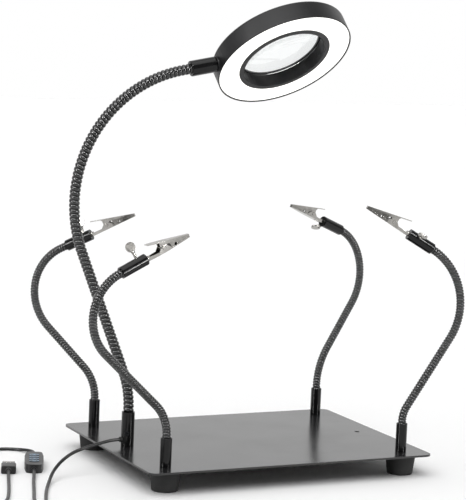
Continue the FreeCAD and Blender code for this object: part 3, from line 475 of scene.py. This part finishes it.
@dataclass
class WorkBase:
    """Plate, feet, screws and posts."""
    plate_edge: float = 0.35
    foot_edge: float = 1.2
    post_edge: float = 0.5
    bush_edge: float = 0.4

    def build(self) -> None:
        """Makes the plate, feet and posts with rounded edges and dresses the screws."""
        softened("base_plate", "base", POWDER_COAT, self.plate_edge)
        softened("rubber_feet", "base", RUBBER, self.foot_edge, segments=3)
        softened("arm_posts", "base", GLOSS_ENAMEL, self.post_edge)
        softened("lamp_post", "base", GLOSS_ENAMEL, self.post_edge)
        softened("cord_bush", "base", RUBBER, self.bush_edge)
        dress("foot_screws", ZINC)
        dress("lamp_post_screw", ZINC)
        dress("lamp_grub_screw", BLACK_OXIDE)
        LOG.info("base: plate, feet, posts and screws")


# ---------------------------------------------------------------- goosenecks

@dataclass
class Gooseneck:
    """A wound steel tube along a planar curve: straight runs joined by arcs. Distances count from
    the top of its post."""
    name: str
    post: Point
    azimuth: float
    lead: float
    out_radius: float
    out_turn: float
    middle: float
    in_radius: float
    in_turn: float
    tail: float
    holder: str
    radius: float = 4.1
    pitch: float = 2.85
    groove: float = 0.85
    first_bend: float = 7.0
    second_bend: float = 80.0
    second_reach: float = 25.0
    around: int = 20
    inside: float = 3.0      # how far the tube starts inside its post
    crease: float = 80.0
    joint_gap: float = 0.3   # the tip bend's middle is the radius and this much from the tube's end
    low_margin: float = 0.5  # what the lowest bend keeps clear of the post
    tip_margin: float = 0.2  # what the tip bend keeps clear of the tube's end

    @property
    def runs(self) -> list[tuple[float, float]]:
        """Each run's length and its bend per millimetre."""
        out, back = math.radians(self.out_turn), math.radians(self.in_turn)
        return [(self.lead, 0.0), (self.out_radius * out, -1 / self.out_radius), (self.middle, 0.0),
                (self.in_radius * back, 1 / self.in_radius), (self.tail, 0.0)]

    @property
    def length(self) -> float:
        """Length of the centre line."""
        return sum(run[0] for run in self.runs)

    @property
    def inward(self) -> Vector:
        """Level direction in which the curve leans."""
        return Vector((math.cos(math.radians(self.azimuth)), math.sin(math.radians(self.azimuth)), 0))

    def at(self, distance: float) -> tuple[Vector, Vector, Vector]:
        """Finds a place on the centre line.

        Args:
            distance: how far along, mm; it may lie before the start or past the end.

        Returns:
            The point in mm, the direction of the curve and its upper side.
        """
        point, lean, left = Vector(self.post), 0.0, distance
        if distance < 0:
            return point + Vector((0, 0, distance)), Vector((0, 0, 1)), -self.inward
        for length, bend in self.runs:
            step = min(left, length)
            if not bend:
                point = point + (self.inward * math.sin(lean) + Vector((0, 0, math.cos(lean)))) * step
            else:
                after = lean + bend * step
                point = (point + self.inward * ((math.cos(lean) - math.cos(after)) / bend)
                         + Vector((0, 0, (math.sin(after) - math.sin(lean)) / bend)))
            lean += bend * step
            left -= step
            if left <= 0:
                break
        tangent = self.inward * math.sin(lean) + Vector((0, 0, math.cos(lean)))
        upper = Vector((0, 0, math.sin(lean))) - self.inward * math.cos(lean)
        return point + tangent * max(0.0, left), tangent, upper

    def rib(self) -> list[tuple[float, float]]:
        """One rib's profile as (share of the pitch, share of the groove's depth)."""
        return [(0.0, 1.0), (0.1, 0.55), (0.24, 0.14), (0.5, 0.0), (0.76, 0.14), (0.9, 0.55)]

    def skin(self, name: str, start: int, end: int) -> bpy.types.Mesh:
        """Makes the wound tube between two ribs: a straight lathed tube, skewed to a helix and laid
        along the curve.

        Args:
            name: the mesh's name.
            start: first rib.
            end: rib after the last one.

        Returns:
            The mesh, in the row frame, with its crest attribute.
        """
        bm = bmesh.new()
        crest = bm.verts.layers.float.new("crest")
        line = []
        for count in range(start, end):
            for share, deep in self.rib():
                along = (count + share) * self.step - self.inside
                vert = bm.verts.new((self.radius - self.groove * deep, 0, along))
                vert[crest] = 1 - deep
                line.append(vert)
        last = bm.verts.new((self.radius - self.groove, 0, end * self.step - self.inside))
        line.append(last)
        edges = [bm.edges.new(pair) for pair in zip(line, line[1:])]
        spun = bmesh.ops.spin(bm, geom=line + edges, cent=(0, 0, 0), axis=(0, 0, 1), angle=math.tau,
                              steps=self.around, use_merge=False, use_normal_flip=False, use_duplicate=False)
        seam = set(only(spun["geom_last"], bmesh.types.BMVert))
        for vert in bm.verts:
            turn = math.tau if vert in seam else math.atan2(vert.co.y, vert.co.x) % math.tau
            if turn > FULL_TURN and vert not in seam:
                turn = 0.0
            point, tangent, upper = self.at(vert.co.z + self.step * turn / math.tau)
            side = upper.cross(tangent)
            vert.co = (point + upper * vert.co.x + side * vert.co.y) / 1000
        bmesh.ops.remove_doubles(bm, verts=bm.verts, dist=WELD)
        return finished(bm, name, self.crease)

    @property
    def ribs(self) -> int:
        """Number of ribs, from inside the post to the tube's end."""
        return round((self.length + self.inside) / self.pitch)

    @property
    def step(self) -> float:
        """The pitch that fits a whole number of ribs."""
        return (self.length + self.inside) / self.ribs

    def build(self) -> None:
        """Makes the three lengths of wound tube, cut midway between the joints."""
        root = self.radius + self.joint_gap
        last = self.length - root
        cuts = [0, round(((self.first_bend + self.second_bend) / 2 + self.inside) / self.step),
                round(((self.second_bend + last) / 2 + self.inside) / self.step), self.ribs]
        lower, upper = f"{self.name}_lower", f"{self.name}_upper"
        bends = [("lower", "base", lower, self.first_bend, self.first_bend - self.low_margin),
                 ("middle", lower, upper, self.second_bend, self.second_reach),
                 ("upper", upper, self.holder, last, root - self.tip_margin)]
        stands_for = [["neck_roots"] if self.name == "lamp" else [], [f"{self.name}_neck_lower"],
                      [f"{self.name}_neck_upper"]]
        for (part, before, after, centre, reach), low, high, nodes in zip(bends, cuts, cuts[1:], stands_for):
            name = f"{self.name}_gooseneck_{part}"
            made = piece(name, self.skin(name, low, high), WOUND_STEEL)
            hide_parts(*nodes)
            self.at(centre - reach)[0] / 1000
            self.at(centre + reach)[0] / 1000
            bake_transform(made)
        LOG.info("%s gooseneck: %d ribs", self.name, self.ribs)


# Name, post top, azimuth, lead, outward arc's radius and turn, middle run, inward arc's radius and
# turn, tail, holder
GOOSENECKS = (
    Gooseneck("rear_left", (-126, 90, 28), -41, 2, 42, 46.3, 54.4, 49.8, 109.2, 7.2, "rear_left_holder"),
    Gooseneck("front_left", (-126, -90, 28), 9, 2, 39.6, 47.6, 76, 44.2, 113.4, 2, "front_left_holder"),
    Gooseneck("rear_right", (126, 90, 28), 196.5, 2.5, 67, 36.4, 57.3, 51.7, 105, 0.5, "rear_right_holder"),
    Gooseneck("front_right", (126, -90, 28), 165.7, 2, 28.7, 30.5, 78.9, 63.9, 90.1, 0.5,
              "front_right_holder"),
    Gooseneck("lamp", (-127, 0, 34), -3.4, 3.9, 98, 21.4, 125.2, 129, 100.3, 7.5, "lamp_holder",
              radius=5.2, pitch=4.25, groove=1.15, first_bend=9, second_bend=185, second_reach=40, around=26),
)


# ---------------------------------------------------------------- clips

@dataclass
class SprungClip:
    """A clip with its holder, thumb screw, rivet and torsion spring. Its own frame has x towards
    the nose and z across the jaws."""
    name: str
    pivot: Point = (20.0, 0.0, 2.0)
    coil_radius: float = 1.95
    wire: float = 0.7
    coil_wide: float = 3.2
    turns: int = 4
    leg: float = 7.0
    leg_drop: float = 0.9
    wire_segments: int = 8
    turn_steps: int = 14
    crease: float = 60.0
    holder_edge: float = 0.7
    screw_edge: float = 0.35
    jaw_edge: float = 0.14
    pin_edge: float = 0.25

    def frame(self) -> Matrix:
        """The clip's placement at rest, in metres, from its joints."""
        turn, jaw = joint(f"{self.name}_clip_turn"), joint(f"{self.name}_jaw")
        along = Vector(turn["axis"]).normalized()
        across = -Vector(jaw["axis"]).normalized()
        upper = along.cross(across)
        place = Matrix((along, across, upper)).transposed().to_4x4()
        place.translation = Vector(turn["pos_m"])
        return place

    def spring(self) -> None:
        """Winds the torsion spring round the rivet, with the leg that presses on the lower jaw."""
        bm = bmesh.new()
        ring = bmesh.ops.create_circle(bm, segments=self.wire_segments, radius=self.wire / 2000,
                                       cap_ends=False)["verts"]
        low = -(self.coil_wide - self.wire) / 2000
        bmesh.ops.rotate(bm, verts=ring, cent=(0, 0, 0), matrix=Matrix.Rotation(math.pi / 2, 3, "Y"))
        bmesh.ops.translate(bm, verts=ring, vec=(0, low, -self.coil_radius / 1000))
        tail = bmesh.ops.extrude_edge_only(bm, edges=list(bm.edges))["geom"]
        bmesh.ops.translate(bm, verts=only(tail, bmesh.types.BMVert),
                            vec=(self.leg / 1000, 0, -self.leg_drop / 1000))
        bmesh.ops.contextual_create(bm, geom=only(tail, bmesh.types.BMEdge))
        start = [edge for edge in bm.edges if all(vert in ring for vert in edge.verts)]
        steps = self.turn_steps * self.turns
        spun = bmesh.ops.spin(bm, geom=ring + start, cent=(0, 0, 0), axis=(0, 1, 0),
                              angle=math.tau * self.turns,
                              dvec=(0, (self.coil_wide - self.wire) / 1000 / steps, 0), steps=steps,
                              use_merge=False, use_normal_flip=False, use_duplicate=False)
        bmesh.ops.contextual_create(bm, geom=only(spun["geom_last"], bmesh.types.BMEdge))
        bmesh.ops.translate(bm, verts=bm.verts, vec=mm(*self.pivot))
        bmesh.ops.transform(bm, matrix=self.frame(), verts=bm.verts)
        made = piece(f"{self.name}_wound_spring", finished(bm, "spring", self.crease), SPRING_WIRE)
        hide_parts(f"{self.name}_jaw_spring")
        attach(made, f"{self.name}_clip")

    def build(self) -> None:
        """Makes every piece from the holder to the jaws."""
        for part, body, finish, slot, edge, segments in (
                ("clip_holder", "holder", GLOSS_ENAMEL, "post", self.holder_edge, 2),
                ("thumb_screw", "screw", BRIGHT_NICKEL, "nickel", self.screw_edge, 2),
                ("lower_jaw", "clip", BRIGHT_NICKEL, "nickel", self.jaw_edge, 2),
                ("upper_jaw", "lever", BRIGHT_NICKEL, "nickel", self.jaw_edge, 2),
                ("jaw_pin", "clip", BRIGHT_NICKEL, "nickel", self.pin_edge, 3)):
            softened(f"{self.name}_{part}", f"{self.name}_{body}", finish, edge, segments)
        self.spring()
        LOG.info("%s clip: holder, thumb screw, jaws, rivet and spring", self.name)


# ---------------------------------------------------------------- lamp head

@dataclass
class RingLamp:
    """Holder sleeve, ring housing, lit diffuser, board and lens."""
    holder_edge: float = 1.0
    housing_edge: float = 0.5
    diffuser_edge: float = 0.3
    centre: Point = (16.7496, -8.5403, 383.731)
    axis: Point = (-0.11348497, 0.63035455, 0.76796764)
    lens_middle: float = 5.0
    lens_rim: float = 41.85
    lens_edge: float = 3.0
    dome_radius: float = 40.35
    dome: float = 3.0
    dome_steps: int = 12
    around: int = 96
    crease: float = 20.0

    def lens(self) -> None:
        """Lathes the lens: two shallow domes on a flat rim."""
        ball = (self.dome_radius ** 2 + self.dome ** 2) / (2 * self.dome)
        half = self.lens_edge / 2
        dome = [(r, half + self.dome - ball + math.sqrt(ball * ball - r * r))
                for r in (self.dome_radius * step / self.dome_steps for step in range(self.dome_steps + 1))]
        side = dome + [(self.lens_rim, half)]
        bm = bmesh.new()
        line = [bm.verts.new(mm(r, 0, z)) for r, z in side + [(r, -z) for r, z in reversed(side)]]
        edges = [bm.edges.new(pair) for pair in zip(line, line[1:])]
        bmesh.ops.spin(bm, geom=line + edges, cent=(0, 0, 0), axis=(0, 0, 1), angle=math.tau,
                       steps=self.around, use_merge=True, use_normal_flip=False, use_duplicate=False)
        bmesh.ops.remove_doubles(bm, verts=bm.verts, dist=WELD)
        upright = Vector(self.axis).to_track_quat("Z", "X").to_matrix().to_4x4()
        upright.translation = mm(*self.centre) + Vector(self.axis) * (self.lens_middle / 1000)
        bmesh.ops.transform(bm, matrix=upright, verts=bm.verts)
        made = piece("polished_lens", finished(bm, "polished_lens", self.crease), PolishedLens())
        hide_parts("magnifier_lens")
        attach(made, "lamp_head")

    def build(self) -> None:
        """Makes the lamp head's pieces."""
        softened("lamp_holder", "lamp_holder", GLOSS_ENAMEL, self.holder_edge, segments=3)
        softened("lamp_housing", "lamp_head", MOULDED_ABS, self.housing_edge)
        softened("lamp_diffuser", "lamp_head", LitDiffuser(), self.diffuser_edge)
        dress("led_board", SOLDER_MASK)
        self.lens()
        LOG.info("lamp head: holder, housing, diffuser, board and lens")


# ---------------------------------------------------------------- controller, plug and cord

class Mark(Enum):
    """The plain symbol printed on each button."""
    POWER = 1
    MORE = 2
    LESS = 3
    TONE = 4


@dataclass
class Controller:
    """In-line controller: two shells and four printed buttons. It lies on the floor, x along it."""
    place: tuple[float, float] = (-211.0, 30.0)
    heading: float = 70.0
    pitch: float = 8.6
    top: float = 9.1
    button_long: float = 9.4
    button_wide: float = 6.4
    case_edge: float = 0.6
    button_edge: float = 0.3
    line: float = 0.55      # width of the printed outline
    inset: float = 0.5      # how much smaller than the button the outline is
    round_steps: int = 32
    ink: float = 0.05       # thickness of the ink
    sunk: float = 0.01      # how far the ink goes into the cap
    disc: tuple[float, float] = (1.45, 1.05)
    gap_from: float = 0.9   # the power sign's ring is open beyond this
    power_bar: tuple[float, float] = (1.5, 0.4)
    tone_dot: float = 0.9
    sign: tuple[float, float] = (2.8, 0.45)

    def oblong(self, bm: bmesh.types.BMesh, long: float, wide: float) -> list[bmesh.types.BMEdge]:
        """Adds a flat oblong outline, long across the controller.

        Args:
            bm: the bmesh.
            long: overall length, mm.
            wide: overall width, mm.

        Returns:
            The outline's edges.
        """
        ring = bmesh.ops.create_circle(bm, segments=self.round_steps, radius=wide / 2000,
                                       cap_ends=False)["verts"]
        for side in (1, -1):
            half = [vert for vert in ring if vert.co.y * side > NOUGHT]
            bmesh.ops.translate(bm, verts=half, vec=(0, side * (long - wide) / 2000, 0))
        return list({edge for vert in ring for edge in vert.link_edges})

    def printed(self, mark: Mark) -> bmesh.types.BMesh:
        """Lays out one button's printed outline and symbol round the origin, flat.

        Args:
            mark: the symbol.

        Returns:
            The bmesh, still flat.
        """
        bm = bmesh.new()
        rings = [(self.button_long - less, self.button_wide - less)
                 for less in (self.inset, self.inset + 2 * self.line)]
        bmesh.ops.bridge_loops(bm, edges=[edge for long, wide in rings
                                          for edge in self.oblong(bm, long, wide)])
        if mark in (Mark.POWER, Mark.TONE):
            disc = [self.oblong(bm, 2 * r, 2 * r) for r in self.disc]
            ring = bmesh.ops.bridge_loops(bm, edges=disc[0] + disc[1])["faces"]
            if mark is Mark.POWER:
                gap = [face for face in ring if face.calc_center_median().x > self.gap_from / 1000]
                bmesh.ops.delete(bm, geom=gap, context="FACES")
                self.bar(bm, *self.power_bar, self.gap_from)
            else:
                self.bar(bm, self.tone_dot, self.tone_dot)
        else:
            self.bar(bm, *reversed(self.sign))
            if mark is Mark.MORE:
                self.bar(bm, *self.sign)
        return bm

    def bar(self, bm: bmesh.types.BMesh, long: float, wide: float, x: float = 0.0) -> None:
        """Adds a flat bar.

        Args:
            bm: the bmesh.
            long: its size along the controller, mm.
            wide: its size across it, mm.
            x: where its middle lies along the controller, mm.
        """
        size = Matrix.Translation(mm(x, 0, 0)) @ Matrix.Diagonal((long / 1000, wide / 1000, 1, 1))
        bmesh.ops.create_grid(bm, x_segments=1, y_segments=1, size=0.5, matrix=size)

    def build(self) -> list[bpy.types.Object]:
        """Makes the shells, buttons and their print.

        Returns:
            The pieces on the cord.
        """
        place = on_floor(self.place, self.heading)
        made = [softened(f"controller_{half}", "base", CASE_ABS, self.case_edge)
                for half in ("base", "top")]
        for count, mark in enumerate(Mark):
            body = f"button_{count + 1}"
            made.append(softened(body, body, BUTTON_FILM, self.button_edge))
            bm = self.printed(mark)
            raised = bmesh.ops.extrude_face_region(bm, geom=list(bm.faces))["geom"]
            bmesh.ops.translate(bm, verts=only(raised, bmesh.types.BMVert), vec=mm(0, 0, self.ink))
            spot = place @ Matrix.Translation(mm((count - 1.5) * self.pitch, 0, self.top - self.sunk))
            bmesh.ops.transform(bm, matrix=spot, verts=bm.verts)
            ink = piece(f"{body}_print", finished(bm, f"{body}_print"), PALE_INK)
            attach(ink, body)
            made.append(ink)
        LOG.info("controller: two shells, four printed buttons")
        return made


@dataclass
class Plug:
    """Moulded plug: grip, folded steel shell and the contact tongue inside it."""
    place: tuple[float, float] = (-244.7, 7.6)
    heading: float = 70.5
    grip_long: float = 15.9
    middle: float = 4.0
    tongue: Point = (10.6, 10.8, 1.7)
    tongue_rise: float = 0.95
    contact: Point = (8.6, 1.0, 0.16)
    contact_rise: float = 0.06
    contact_back: float = 0.4
    contacts_across: tuple[float, ...] = (-3.5, -1.0, 1.0, 3.5)
    grip_edge: float = 0.7
    shell_edge: float = 0.12
    block_edge: float = 0.15
    tongue_gap: float = 0.6  # between the grip and the tongue

    def block(self, name: str, size: Point, at: Point, finish: Finish) -> bpy.types.Object:
        """Adds a small moulded block with softened edges.

        Args:
            name: the piece's name.
            size: length, width and height, mm.
            at: its centre in the plug's frame, mm.
            finish: what it is made of.

        Returns:
            The new piece.
        """
        bm = bmesh.new()
        bmesh.ops.create_cube(bm, size=1,
                              matrix=Matrix.Translation(mm(*at)) @ Matrix.Diagonal((*mm(*size), 1)))
        bmesh.ops.bevel(bm, geom=bm.edges[:], offset=self.block_edge / 1000, affect="EDGES", segments=2,
                        profile=0.5, material=-1)
        bmesh.ops.transform(bm, matrix=on_floor(self.place, self.heading), verts=bm.verts)
        made = piece(name, finished(bm, name), finish)
        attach(made, "base")
        return made

    def build(self) -> list[bpy.types.Object]:
        """Makes the grip, shell, tongue and contacts.

        Returns:
            The pieces on the cord's end.
        """
        made = [softened("plug_body", "base", PVC_SHEATH, self.grip_edge, segments=3),
                softened("plug_shell", "base", BRIGHT_NICKEL, self.shell_edge)]
        centre = self.grip_long + self.tongue[0] / 2 + self.tongue_gap
        made.append(self.block("plug_tongue", self.tongue, (centre, 0, self.middle + self.tongue_rise),
                               NYLON_TONGUE))
        for count, across in enumerate(self.contacts_across):
            spot = (centre - self.contact_back, across, self.middle + self.contact_rise)
            made.append(self.block(f"plug_contact_{count + 1}", self.contact, spot, GOLD_FLASH))
        LOG.info("plug: grip, shell, tongue and contacts")
        return made


@dataclass
class SupplyCord:
    """The free cord from the lamp's post through its coil and the controller to the plug."""
    diameter: float = 3.2
    length: float = 1.44
    coil: tuple[float, float] = (-288.6, -164.8)
    lies: float = FLOOR + 1.6
    upper: float = -17.63
    coil_points: int = 66
    coil_heading: float = -14.0
    coil_turns: float = 4.46    # in all
    coil_inward: float = 2.0    # turns wound inwards on the floor
    coil_climb: float = 0.96    # share of a turn in which it climbs on top
    coil_radius: float = 21.6   # its radius where it begins
    coil_dip: float = 1.0       # how far it moves inwards as it climbs
    coil_last: float = 20.0     # its radius where it ends
    coil_spacing: float = 3.2

    def to_coil(self) -> list[Point]:
        """Control points from the post's bush down to the floor and to the coil."""
        low = self.lies
        return [(-133.3, 0, 7), (-143, 0, 7), (-157, -3.5, 5.2), (-172, -7.5, 3.2), (-187, -10, -0.4),
                (-201, -15.5, -7), (-213, -26, -14), (-222.5, -42, -19.4), (-231.6, -61, low),
                (-240.6, -83, low), (-249.6, -108, low), (-257.6, -133, low)]

    def turns(self) -> list[Point]:
        """Control points of the coil: two turns inwards on the floor, then out again on top."""
        points = []
        for step in range(self.coil_points + 1):
            done = self.coil_turns * step / self.coil_points
            share = (done - self.coil_inward) / self.coil_climb
            if share < 0:
                radius, rise = self.coil_radius - self.coil_spacing * done, 0.0
            elif share < 1:
                radius = (self.coil_radius - self.coil_spacing * self.coil_inward
                          - self.coil_dip * math.sin(math.pi * share))
                rise = share * share * (3 - 2 * share)
            else:
                radius, rise = self.coil_last - self.coil_spacing * (self.coil_turns - done), 1.0
            turn = math.radians(self.coil_heading - 360 * done)
            points.append((self.coil[0] + radius * math.cos(turn), self.coil[1] + radius * math.sin(turn),
                           self.lies + (self.upper - self.lies) * rise))
        return points

    def to_controller(self) -> list[Point]:
        """Control points from the coil round to the controller's far end and on to its near end."""
        low = self.lies
        return [(-308.2, -152, -18.8), (-306.5, -136, low), (-302.5, -112, low), (-296, -80, low),
                (-286.5, -42, low), (-275.5, -2, low), (-263, 38, low), (-252, 70, low), (-241.7, 95, low),
                (-222.2, 106, low), (-202.5, 98.5, low), (-193.9, 77, -18), (-200.72, 58.24, -18),
                (-208, 38, -18), (-214, 22, -18)]

    def to_plug(self) -> list[Point]:
        """Control points from the controller's near end round its loop to the plug."""
        low = self.lies
        return [(-221.28, 1.76, -18), (-226.4, -12.3, -18), (-233.5, -31, low), (-242, -55, low),
                (-250.2, -78, low), (-256.4, -95, low), (-259, -111, low), (-262.9, -127.8, low),
                (-275, -133.6, low), (-287.6, -129.1, low), (-293.4, -116.9, low), (-286.1, -101, low),
                (-276.6, -83, low), (-267.4, -58.5, low), (-258.6, -33, low), (-251.1, -10.4, -18),
                (-245.9, 4.2, -18)]

    def build(self, carried: Iterable[bpy.types.Object]) -> None:
        """Args:
            carried: the pieces on it; not used.
        """
        route = self.to_coil() + self.turns() + self.to_controller() + self.to_plug()
        curve = bpy.data.curves.new("supply_cord", "CURVE")
        curve.dimensions = "3D"
        curve.bevel_depth = self.diameter / 2000
        curve.bevel_resolution = 4
        curve.resolution_u = 6
        curve.use_fill_caps = True
        spline = curve.splines.new("NURBS")
        spline.points.add(len(route) - 1)
        for spot, point in zip(spline.points, route):
            spot.co = (*mm(*point), 1)
        spline.order_u = 3
        spline.use_endpoint_u = True
        curve.materials.append(PVC_SHEATH.material())
        made = shown("supply_cord", curve)
        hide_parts("cord_to_coil", "cord_coil", "cord_to_controller", "cord_to_plug")
        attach(made, "base")
        LOG.info("supply cord: %d control points", len(route))


# ---------------------------------------------------------------- studio

@dataclass
class Studio:
    """Paper floor, a broad overhead light, strips that light no matt surface, a white room that is
    dimmer on the viewer's side, and the camera."""
    lens: float = 148.12
    spot: Point = (-891.12, -1796.96, 441.56)
    right: Point = (0.90176201, -0.43021583, 0.04170863)
    upper: Point = (0.0166273, 0.13095176, 0.9912493)
    back: Point = (-0.43191296, -0.89317746, 0.12524065)
    dim: float = 0.22          # strength of the room's dim side, against 1
    overhead: float = 2.1
    overhead_spread: float = 75.0
    overhead_way: Point = (0.35, 0.25, -1)
    dim_from: float = -0.1     # a direction that points away from the viewer by less than this is dim
    bright_from: float = 0.8   # and one that does by more than this is fully bright
    sensor: float = 36.0
    sees: float = 50.0         # the camera's reach, m
    floor_half: float = 6.0    # half of the floor's width, m
    strip_watts: float = 26.0
    strip_aim: Point = (0, 0, 0.3)
    strips: tuple[tuple[str, Point, tuple[float, float]], ...] = (
        ("strip_left", (-1.9, -0.3, 0.74), (0.1, 1.4)),
        ("strip_right", (1.0, -1.65, 0.74), (0.1, 1.4)),
        ("strip_over", (-0.75, -1.5, 1.75), (1.5, 0.1)))

    def camera(self) -> None:
        """Sets the camera."""
        data = bpy.data.cameras.new("view")
        data.lens, data.sensor_width, data.clip_end = self.lens, self.sensor, self.sees
        made = shown("view", data)
        turn = Matrix((self.right, self.upper, self.back)).transposed().to_4x4()
        made.matrix_world = Matrix.Translation(mm(*self.spot)) @ turn
        bpy.context.scene.camera = made

    def floor(self) -> None:
        """Lays the floor."""
        bm = bmesh.new()
        bmesh.ops.create_grid(bm, x_segments=1, y_segments=1, size=self.floor_half)
        bmesh.ops.translate(bm, verts=bm.verts, vec=mm(0, 0, FLOOR))
        mesh = bpy.data.meshes.new("floor")
        bm.to_mesh(mesh)
        bm.free()
        made = shown("floor", mesh)
        mesh.materials.append(MattPaper().material())

    def strip(self, name: str, at: Point, size: tuple[float, float]) -> None:
        """Hangs one strip that shows only in glossy and clear surfaces.

        Args:
            name: the light's name.
            at: where it is, m.
            size: its width and height, m.
        """
        data = bpy.data.lights.new(name, "AREA")
        data.shape, data.size, data.size_y, data.energy = "RECTANGLE", *size, self.strip_watts
        made = shown(name, data)
        made.visible_diffuse = False
        made.location = at
        made.rotation_euler = (Vector(self.strip_aim) - Vector(at)).to_track_quat("-Z", "Y").to_euler()

    def sun(self) -> None:
        """Lights the floor evenly from a broad overhead source."""
        data = bpy.data.lights.new("overhead", "SUN")
        data.energy, data.angle = self.overhead, math.radians(self.overhead_spread)
        made = shown("overhead", data)
        made.rotation_euler = Vector(self.overhead_way).to_track_quat("-Z", "Y").to_euler()

    def build(self) -> None:
        """Sets up the camera, floor, lights and surroundings."""
        self.camera()
        self.floor()
        world = bpy.data.worlds.new("studio")
        world.use_nodes = True
        tree = world.node_tree
        # A white room, dimmer on the side that the viewer stands on
        way = add_node(tree, "TexCoord").outputs["Generated"]
        facing = add_node(tree, "VectorMath", {"operation": "DOT_PRODUCT"}, {0: way})
        facing.inputs[1].default_value = (-self.back[0], -self.back[1], 0)
        level = add_node(tree, "MapRange", {"interpolation_type": "SMOOTHSTEP", "From Min": self.dim_from,
                                            "From Max": self.bright_from, "To Min": self.dim, "To Max": 1.0},
                         {"Value": facing.outputs["Value"]})
        tree.links.new(level.outputs[0], tree.nodes["Background"].inputs["Strength"])
        tree.nodes["Background"].inputs["Color"].default_value = (1, 1, 1, 1)
        bpy.context.scene.world = world
        self.sun()
        for name, at, size in self.strips:
            self.strip(name, at, size)
        bpy.context.scene.view_settings.view_transform = "Standard"
        LOG.info("studio ready")


def main() -> None:
    """Builds every sub-assembly in order."""
    logging.basicConfig(level=logging.INFO, format="%(message)s")
    Studio().build()
    WorkBase().build()
    for neck in GOOSENECKS:
        neck.build()
    for name in ARMS:
        SprungClip(name).build()
    RingLamp().build()
    SupplyCord().build(Controller().build() + Plug().build())


if __name__ == "__main__":
    main()
